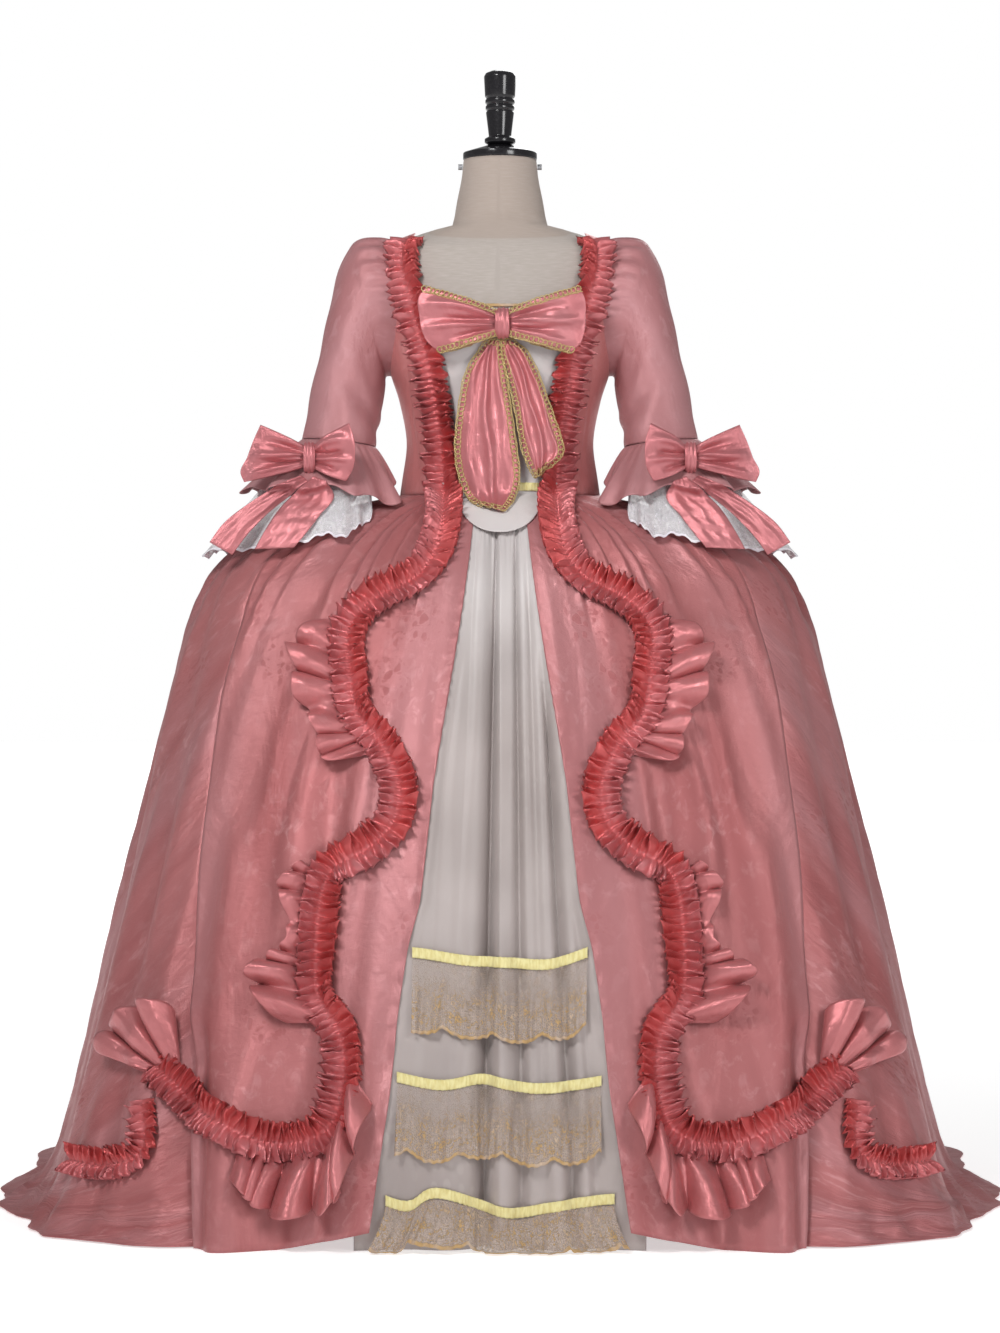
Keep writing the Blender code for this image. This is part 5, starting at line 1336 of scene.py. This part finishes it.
def before(tree, p, clear):
    """A grid brought forward wherever it isn't clear of the surface behind it."""
    surface = front_of(tree, p[..., 0], p[..., 2], np.inf)
    need = np.maximum(0.0, p[..., 1] - surface + clear)
    wide = np.pad(need, 3, mode="edge")
    rows, columns = need.shape
    for r, c in np.ndindex(7, 7):
        need = np.maximum(need, wide[r:r + rows, c:c + columns])
    for _ in range(6):
        need = mean_of_four(need)
    return moved(p, np.array([0, -1, 0]), need)


def tier(tree, ribbon, path, name, drop, stand_out, flare, seed, ribbon_look_, look):
    """A gathered ribbon across the petticoat and the scalloped lace that hangs under it."""
    points, outs = [], []
    for x, z in curve_through(path, step=11)[0]:
        point, normal = lay(tree, x, z)
        points.append(point)
        outs.append((normal.x * 0.3, normal.y, 0))
    points, outs = np.array(points), unit(np.array(outs))
    soften(points, 4)
    soften(outs, 4)
    length = run_of(points)
    s = np.linspace(0, length[-1], int(length[-1] / TIER_STEP))
    base = between(s, length, points)[:, None]
    out = unit(between(s, length, outs))[:, None]
    middle = len(s) // 2
    s = s[:, None]
    share = np.linspace(-1, 1, RIBBON_COLUMNS)
    gather = np.sin(s * 2 * np.pi / 0.0062 + 1.5 * np.sin(s * 90))
    lift = 0.0034 + 0.0012 * (1 - share ** 2) + 0.0004 * gather * (0.3 + np.abs(share))
    p = moved(base, out, lift)
    p[..., 2] += share * 0.0068 * (1 + 0.03 * gather) + 0.0012 * np.sin(s * 55 + seed)
    p = before(tree, p, 0.0018)
    uv = np.stack([s + 0 * lift, share * 0.007 + 0 * lift], -1)
    cloth(ribbon, p, ribbon_look_, 0.0007, False, facing(p, (middle, 5), out[middle, 0]), uv)

    b = np.linspace(0, 1, LACE_COLUMNS)
    full = drop - 0.009 + 0.012 * np.abs(np.sin(s * np.pi / 0.062 + seed)) ** 0.7
    full = full + 0.0018 * np.abs(np.sin(s * np.pi / 0.0103 + seed))
    turn = s * 2 * np.pi / 0.030 + 1.2 * np.sin(s * 37 + seed) + 0.8 * b
    wave = 0.0030 * np.sin(turn) + 0.0016 * np.sin(turn * 2.3 + seed)
    lift = np.maximum(0.0030 + b * (stand_out + 0.19 * drop) + wave * (0.25 + b), 0.0020)
    p = moved(base, out, lift)
    p[..., 0] *= 1 + flare * b ** 1.5
    fall = base[..., 2] - 0.007 - full * b
    # What would reach below the floor lies out along it instead
    p[..., 2] = np.maximum(fall, LACE_FOOT)
    p = before(tree, moved(p, out, 0.9 * np.maximum(LACE_FOOT - fall, 0)), 0.0022)
    v = full * (1 - b)
    uv = np.stack([s * 1.4 + 0 * v, v], -1)
    cloth(name, p, look, 0.0006, False, facing(p, (middle, 5), out[middle, 0]), uv)


def build_trims(made, looks):
    """Ruffles, fans, ribbons and lace tiers, laid on the cloth that carries them."""
    dress = tree_of(made["overskirt"], made["train"])
    bodied = [made[name] for name in ("torso", "bodice_front", "stomacher", "overskirt", "train")]
    p, uv, flip = ruffle(tree_of(*bodied), BODY_RUFFLE + SKIRT_RUFFLE, 0.050, 0.009, 71)
    waist = int(np.argmax(p[:, RUFFLE_COLUMNS // 2, 2] < RUFFLE_SPLIT))
    for name, part in (("ruffle_body", slice(waist + 1)), ("ruffle_skirt", slice(waist, None))):
        both(name, p[part], looks["ruffle"], TRIM_THICK, False, flip, uv[part])
    made["ruffle_body"] = p[:waist + 1]
    skirt_line = dress_line(dress, SKIRT_RUFFLE)
    p, uv, flip = ruffle(dress, TRAIN_RUFFLE, 0.040, 0.007, 73)
    both("ruffle_train", p, looks["ruffle"], TRIM_THICK, False, flip, uv)
    fans = {name: fan(dress, skirt_line, outline, pleats, seed)
            for name, (pleats, seed, outline) in FANS.items()}
    fans["fan_side"] = side_fan(dress, 3, 84)
    for name, (p, flip) in fans.items():
        both(name, p, looks["fan"], BOW_THICK, False, flip)
    front = tree_of(made["petticoat"])
    for row in TIERS:
        tier(front, *row, looks["yellow"], looks["gold_lace"])


def loops(middle, reach_rows, up, down, puff, tilts):
    """The two loops of a bow as one closed band, creased from the knot outward."""
    turn = np.linspace(0, 2 * np.pi, LOOP_GRID[1], endpoint=False)
    share = np.linspace(-1, 1, LOOP_GRID[0])[:, None]
    x = np.cos(turn) + 0 * share
    y = np.sin(turn) + 0 * share
    far = np.abs(x)
    left, right = section(reach_rows, share + 0 * x)
    reach = np.where(x < 0, left, right)
    tilt = np.where(x < 0, *tilts)
    tall = share * (LOOP_PINCH / 2 + (np.where(share > 0, up, down) - LOOP_PINCH / 2) * far ** 0.8)
    swell = 0.0022 + 0.0012 * far + puff * np.clip(np.sin(np.pi * far), 0, None) ** 1.2
    swell = swell * (1 - 0.22 * np.cos(share * 1.5) * ease(0.1, 0.4, far))
    crease = 0.0
    for loop, face, at, wide, depth, start, end in LOOP_CREASES:
        here = (np.sign(x) == loop) * (np.sign(-y) == face)
        along = ease(start - 0.08, start + 0.18, far) * (1 - ease(end - 0.25, end + 0.05, far))
        bend = at + 0.06 * np.sin(far * 5 + at * 9)
        crease = crease + here * CREASE_DEPTH * depth * along * bell(share - bend, wide)
    gathers = 0.0010 * np.sin(share * 19 + 2 * np.sign(y))
    gathers = gathers * (1 - ease(0.15, 0.6, far)) * ease(0.02, 0.15, far)
    crumple = 0.0016 * rumple(far * 13 + x, share * 5, 91) * ease(0.35, 0.6, far)
    push = np.sign(y) * (crease + gathers + crumple) * ease(0.0, 0.25, np.abs(y))
    push = np.sign(y) * np.abs(y) ** 0.6 * swell + push
    lean = -tilt * 1.6 * far ** 0.6
    size = np.sqrt(1 + lean ** 2)
    shift = np.stack([-lean / size * push * np.sign(x), push / size, 0 * x], -1)
    return np.stack([x * reach, -tilt * far ** 1.6 * reach, tall], -1) + shift + middle


def knot(middle, width, depth, tall):
    """A band wrapped round the middle of a bow, gathered into ridges that run round it."""
    turn = np.linspace(0, 2 * np.pi, KNOT_GRID[1], endpoint=False)
    share = np.linspace(-1, 1, KNOT_GRID[0])[:, None]
    bulge = 1.10 - 0.10 * share ** 2 + 0.045 * np.sin(share * 9 + 0.5 * np.sin(turn * 2))
    bulge = bulge + 0.02 * np.sin(turn * 3 + share * 2)
    x = share * width / 2 * (1 + 0.06 * np.sin(turn * 2 + 1))
    return np.stack([x, np.cos(turn) * depth * bulge, np.sin(turn) * tall * bulge], -1) + middle


def tail(tree, table, back, creases, depth, seed, grid):
    """A hanging tail between two edge lines, creased along its length."""
    rows, columns = grid
    table, _ = curve_through(table, rows)
    x0, z0, x1, z1, y = table.T[..., None]
    share = np.linspace(0, 1, columns)
    down = np.linspace(0, 1, rows)[:, None]
    x = x0 + (x1 - x0) * share
    z = z0 + (z1 - z0) * share
    least = front_of(tree, x, z, back) - 0.0035
    y = np.minimum(least, y + 0 * share)
    for _ in range(10):
        y = np.minimum(mean_of_four(y), least)
    lift = 0.0
    for at, drift, wide, deep in creases:
        line = at + drift * down + 0.028 * np.sin(down * 15 + at * 9)
        lift = lift + deep * bell(share - line, wide, 1.6) * ease(0.0, 0.12, down)
    lift = lift * depth + 0.0012 * rumple(share * 5, down * 7, seed)
    lift = lift + 0.0009 * rumple(share * 9, down * 22, seed + 1)
    p = np.stack([x, y - lift + lift.min(), z], -1)
    return p, facing(p, (rows * 2 // 5, columns // 2), (0, -1, 0))


def braid(name, lines, look):
    """A looped cord sewn along some closed lines, each of points and directions out."""
    points, faces, uv = [], [], []
    for line, outs in lines:
        line, outs = (np.concatenate([rows, rows[:1]]) for rows in (line, outs))
        length = run_of(line)
        turns = max(2, round(length[-1] / CORD_PITCH))
        s = np.linspace(0, length[-1], turns * 10 + 1)
        base = between(s, length, line)
        out = unit(between(s, length, outs))
        along = unit(np.gradient(base, axis=0))
        out = unit(out - along * np.sum(out * along, 1, keepdims=True))
        phase = s / length[-1] * turns * 2 * np.pi
        wave = CORD_LOOP * (1 + 0.10 * np.sin(phase * 0.23))
        path = moved(base, np.cross(along, out), wave * np.cos(phase))
        path = moved(path, along, wave * 1.15 * np.sin(phase))
        path = moved(path, out, 0.0010 + 0.0005 * np.sin(phase))
        one = unit(np.cross(unit(np.gradient(path, axis=0)), out))
        two = np.cross(unit(np.gradient(path, axis=0)), one)
        turn = np.linspace(0, 2 * np.pi, CORD_SIDES, endpoint=False)
        round_it = np.cos(turn)[:, None] * one[:, None] + np.sin(turn)[:, None] * two[:, None]
        index = index_grid(len(s), CORD_SIDES, sum(map(len, points)))
        points.append((path[:, None] + CORD_RADIUS * round_it).reshape(-1, 3))
        faces += quads(index, np.roll(index, -1, 1)).tolist()
        uv.append(np.stack([np.repeat(s, CORD_SIDES), np.tile(turn, len(s)) * 0.0007], -1))
    finish_piece(name, mesh_of(name, np.concatenate(points), faces, np.concatenate(uv)), look)


def rim_line(p):
    """The line one place inside a grid's four edges."""
    return np.concatenate([p[1:-1, 1], p[-2, 1:-1], p[1:-1, -2][::-1], p[1, 1:-1][::-1]])


def build_bows(front, cuff, pink, gold):
    """The bow on the stomacher and the bows on the cuffs, with the looped cord on the first."""
    middle = np.mean([tuple(corner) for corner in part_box("bow_knot")], 0)
    cloth("bow_knot", knot(middle, 0.0185, 0.0125, 0.0190), pink, KNOT_THICK, True)
    p = loops(middle, MAIN_REACH, 0.0495, 0.0400, 0.012, (0.0, 0.0))
    cloth("bow_loops", p, pink, KNOT_THICK, True)
    n = normals_of(p, True)
    lines = [(p[r], n[r]) for r in (1, -2)]
    back = middle[1] + 0.0119
    for node, table, creases, seed, foot in (
        ("bow_tail_r", BOW_TAIL_R, TAIL_CREASES_R, 61, (0, 0, 0, 0.010, 0)),
        ("bow_tail_l", BOW_TAIL_L, TAIL_CREASES_L, 62, (0, 0.013, 0, 0, 0)),
    ):
        rows = np.array([(one, z, other, z, back - 0.002) for z, one, other in table])
        rows[-1] -= foot
        p, flip = tail(front, rows, back, creases, 1.9, seed, BOW_TAIL_GRID)
        cloth(node, p, pink, BOW_THICK, False, flip)
        lines.append((rim_line(p), rim_line(normals_of(p) * flip)))
    braid("bow_braid", lines, gold)

    middle = np.mean([tuple(corner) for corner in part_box("cuff_knot_l")], 0)
    both("cuff_knot", knot(middle, 0.0150, 0.0130, 0.0190), pink, KNOT_THICK, True)
    p = loops(middle, CUFF_REACH, 0.0440, 0.0330, 0.0075, (0.50, -0.05))
    both("cuff_bow", p, pink, BOW_THICK, True)
    for node, table, creases, seed in (
        ("cuff_tail_out", CUFF_TAIL_OUT, TAIL_CREASES_OUT, 63),
        ("cuff_tail_in", CUFF_TAIL_IN, TAIL_CREASES_IN, 64),
    ):
        p, flip = tail(cuff, table, -0.10, creases, 0.6, seed, CUFF_TAIL_GRID)
        both(node, p, pink, BOW_THICK, False, flip)


def build_stage():
    """A pale floor, soft lights and the camera of the photograph."""
    scene = bpy.context.scene
    corners = np.array([(-1, -1, 0), (1, -1, 0), (1, 1, 0), (-1, 1, 0)]) * FLOOR_SIZE
    mesh = bpy.data.meshes.new("floor")
    mesh.from_pydata(corners.tolist(), [], [(0, 1, 2, 3)])
    floor = added("floor", mesh)
    web = Web("floor", 0.9, specular=0.1)
    web.set("Base Color", (0.90, 0.90, 0.90))
    web.set("Emission Color", (1.0, 1.0, 1.0))
    web.set("Emission Strength", FLOOR_GLOW)
    floor.data.materials.append(web.look)

    scene.world = bpy.data.worlds.new("studio")
    scene.world.use_nodes = True
    tree = scene.world.node_tree
    sky = tree.nodes["Background"]
    sky.inputs["Color"].default_value = (1.0, 1.0, 1.0, 1.0)
    share = tree.nodes.new("ShaderNodeMapRange")
    share.inputs["To Min"].default_value = WORLD_LIGHT
    share.inputs["To Max"].default_value = BACKDROP
    seen = tree.nodes.new("ShaderNodeLightPath").outputs["Is Camera Ray"]
    tree.links.new(seen, share.inputs["Value"])
    tree.links.new(share.outputs[0], sky.inputs["Strength"])

    for name, place, aim, wide, tall, spread, power in LIGHTS:
        lamp = bpy.data.lights.new(name, "AREA")
        lamp.shape = "RECTANGLE"
        lamp.size, lamp.size_y = wide, tall
        lamp.energy = power
        lamp.spread = math.radians(spread)
        thing = added(name, lamp)
        thing.location = place
        thing.rotation_euler = (Vector(aim) - Vector(place)).to_track_quat("-Z", "Y").to_euler()

    lens = bpy.data.cameras.new("camera")
    lens.lens = LENS
    lens.sensor_width = SENSOR
    lens.clip_end = 60.0
    scene.camera = added("camera", lens)
    scene.camera.location = EYE
    scene.camera.rotation_euler = (math.pi / 2, 0.0, 0.0)
    scene.view_settings.view_transform = "Standard"


def declare_sheets():
    """Goes through the table of cuts and forms the full names of each piece and what it rests on;
    nothing is kept.
    """
    for name, width, length, area, held, *rests in CUTS:
        name, *rests = (word if word.startswith("form") else "cloth_" + word
                        for word in (name, *rests))


def main():
    """Builds the gown's looks on the frame."""
    looks = {name: satin(name, *row) for name, row in SATINS.items()}
    looks["cream"] = cream_satin()
    looks["yellow"] = ribbon_look()
    looks["gold_lace"] = lace("gold lace", srgb(200, 182, 170), srgb(190, 156, 108), 0.40, 40)
    looks["white_lace"] = lace("white lace", srgb(246, 244, 246), srgb(226, 220, 228), 0.50, 60)
    gloss = gloss_look("black gloss", (0.012, 0.011, 0.013), 0.16, 0.0)
    steel = gloss_look("steel", (0.42, 0.42, 0.44), 0.34, 1.0)
    made = {"torso": build_stand(linen_look(), gloss, steel)}
    made.update(build_bodice(looks["bodice"]))
    made["overskirt"] = build_overskirt(looks["pink"])
    made["petticoat"] = build_petticoat(looks["cream"])
    made["train"] = build_train(looks["pink"])
    made["stomacher"] = build_stomacher(looks["cream"], looks["gold_lace"], looks["yellow"])
    sleeve = build_sleeve(looks["sleeve"])
    dress = tree_of(made["overskirt"], made["train"])
    cuffs = build_cuffs(sleeve, dress, looks["sleeve"], looks["white_lace"])
    build_trims(made, looks)
    edge = made["ruffle_body"]
    front = tree_of(made["stomacher"], edge, flipped(edge), made["petticoat"])
    build_bows(front, tree_of(sleeve, *cuffs), looks["bow"], braid_look())
    declare_sheets()
    build_stage()


main()
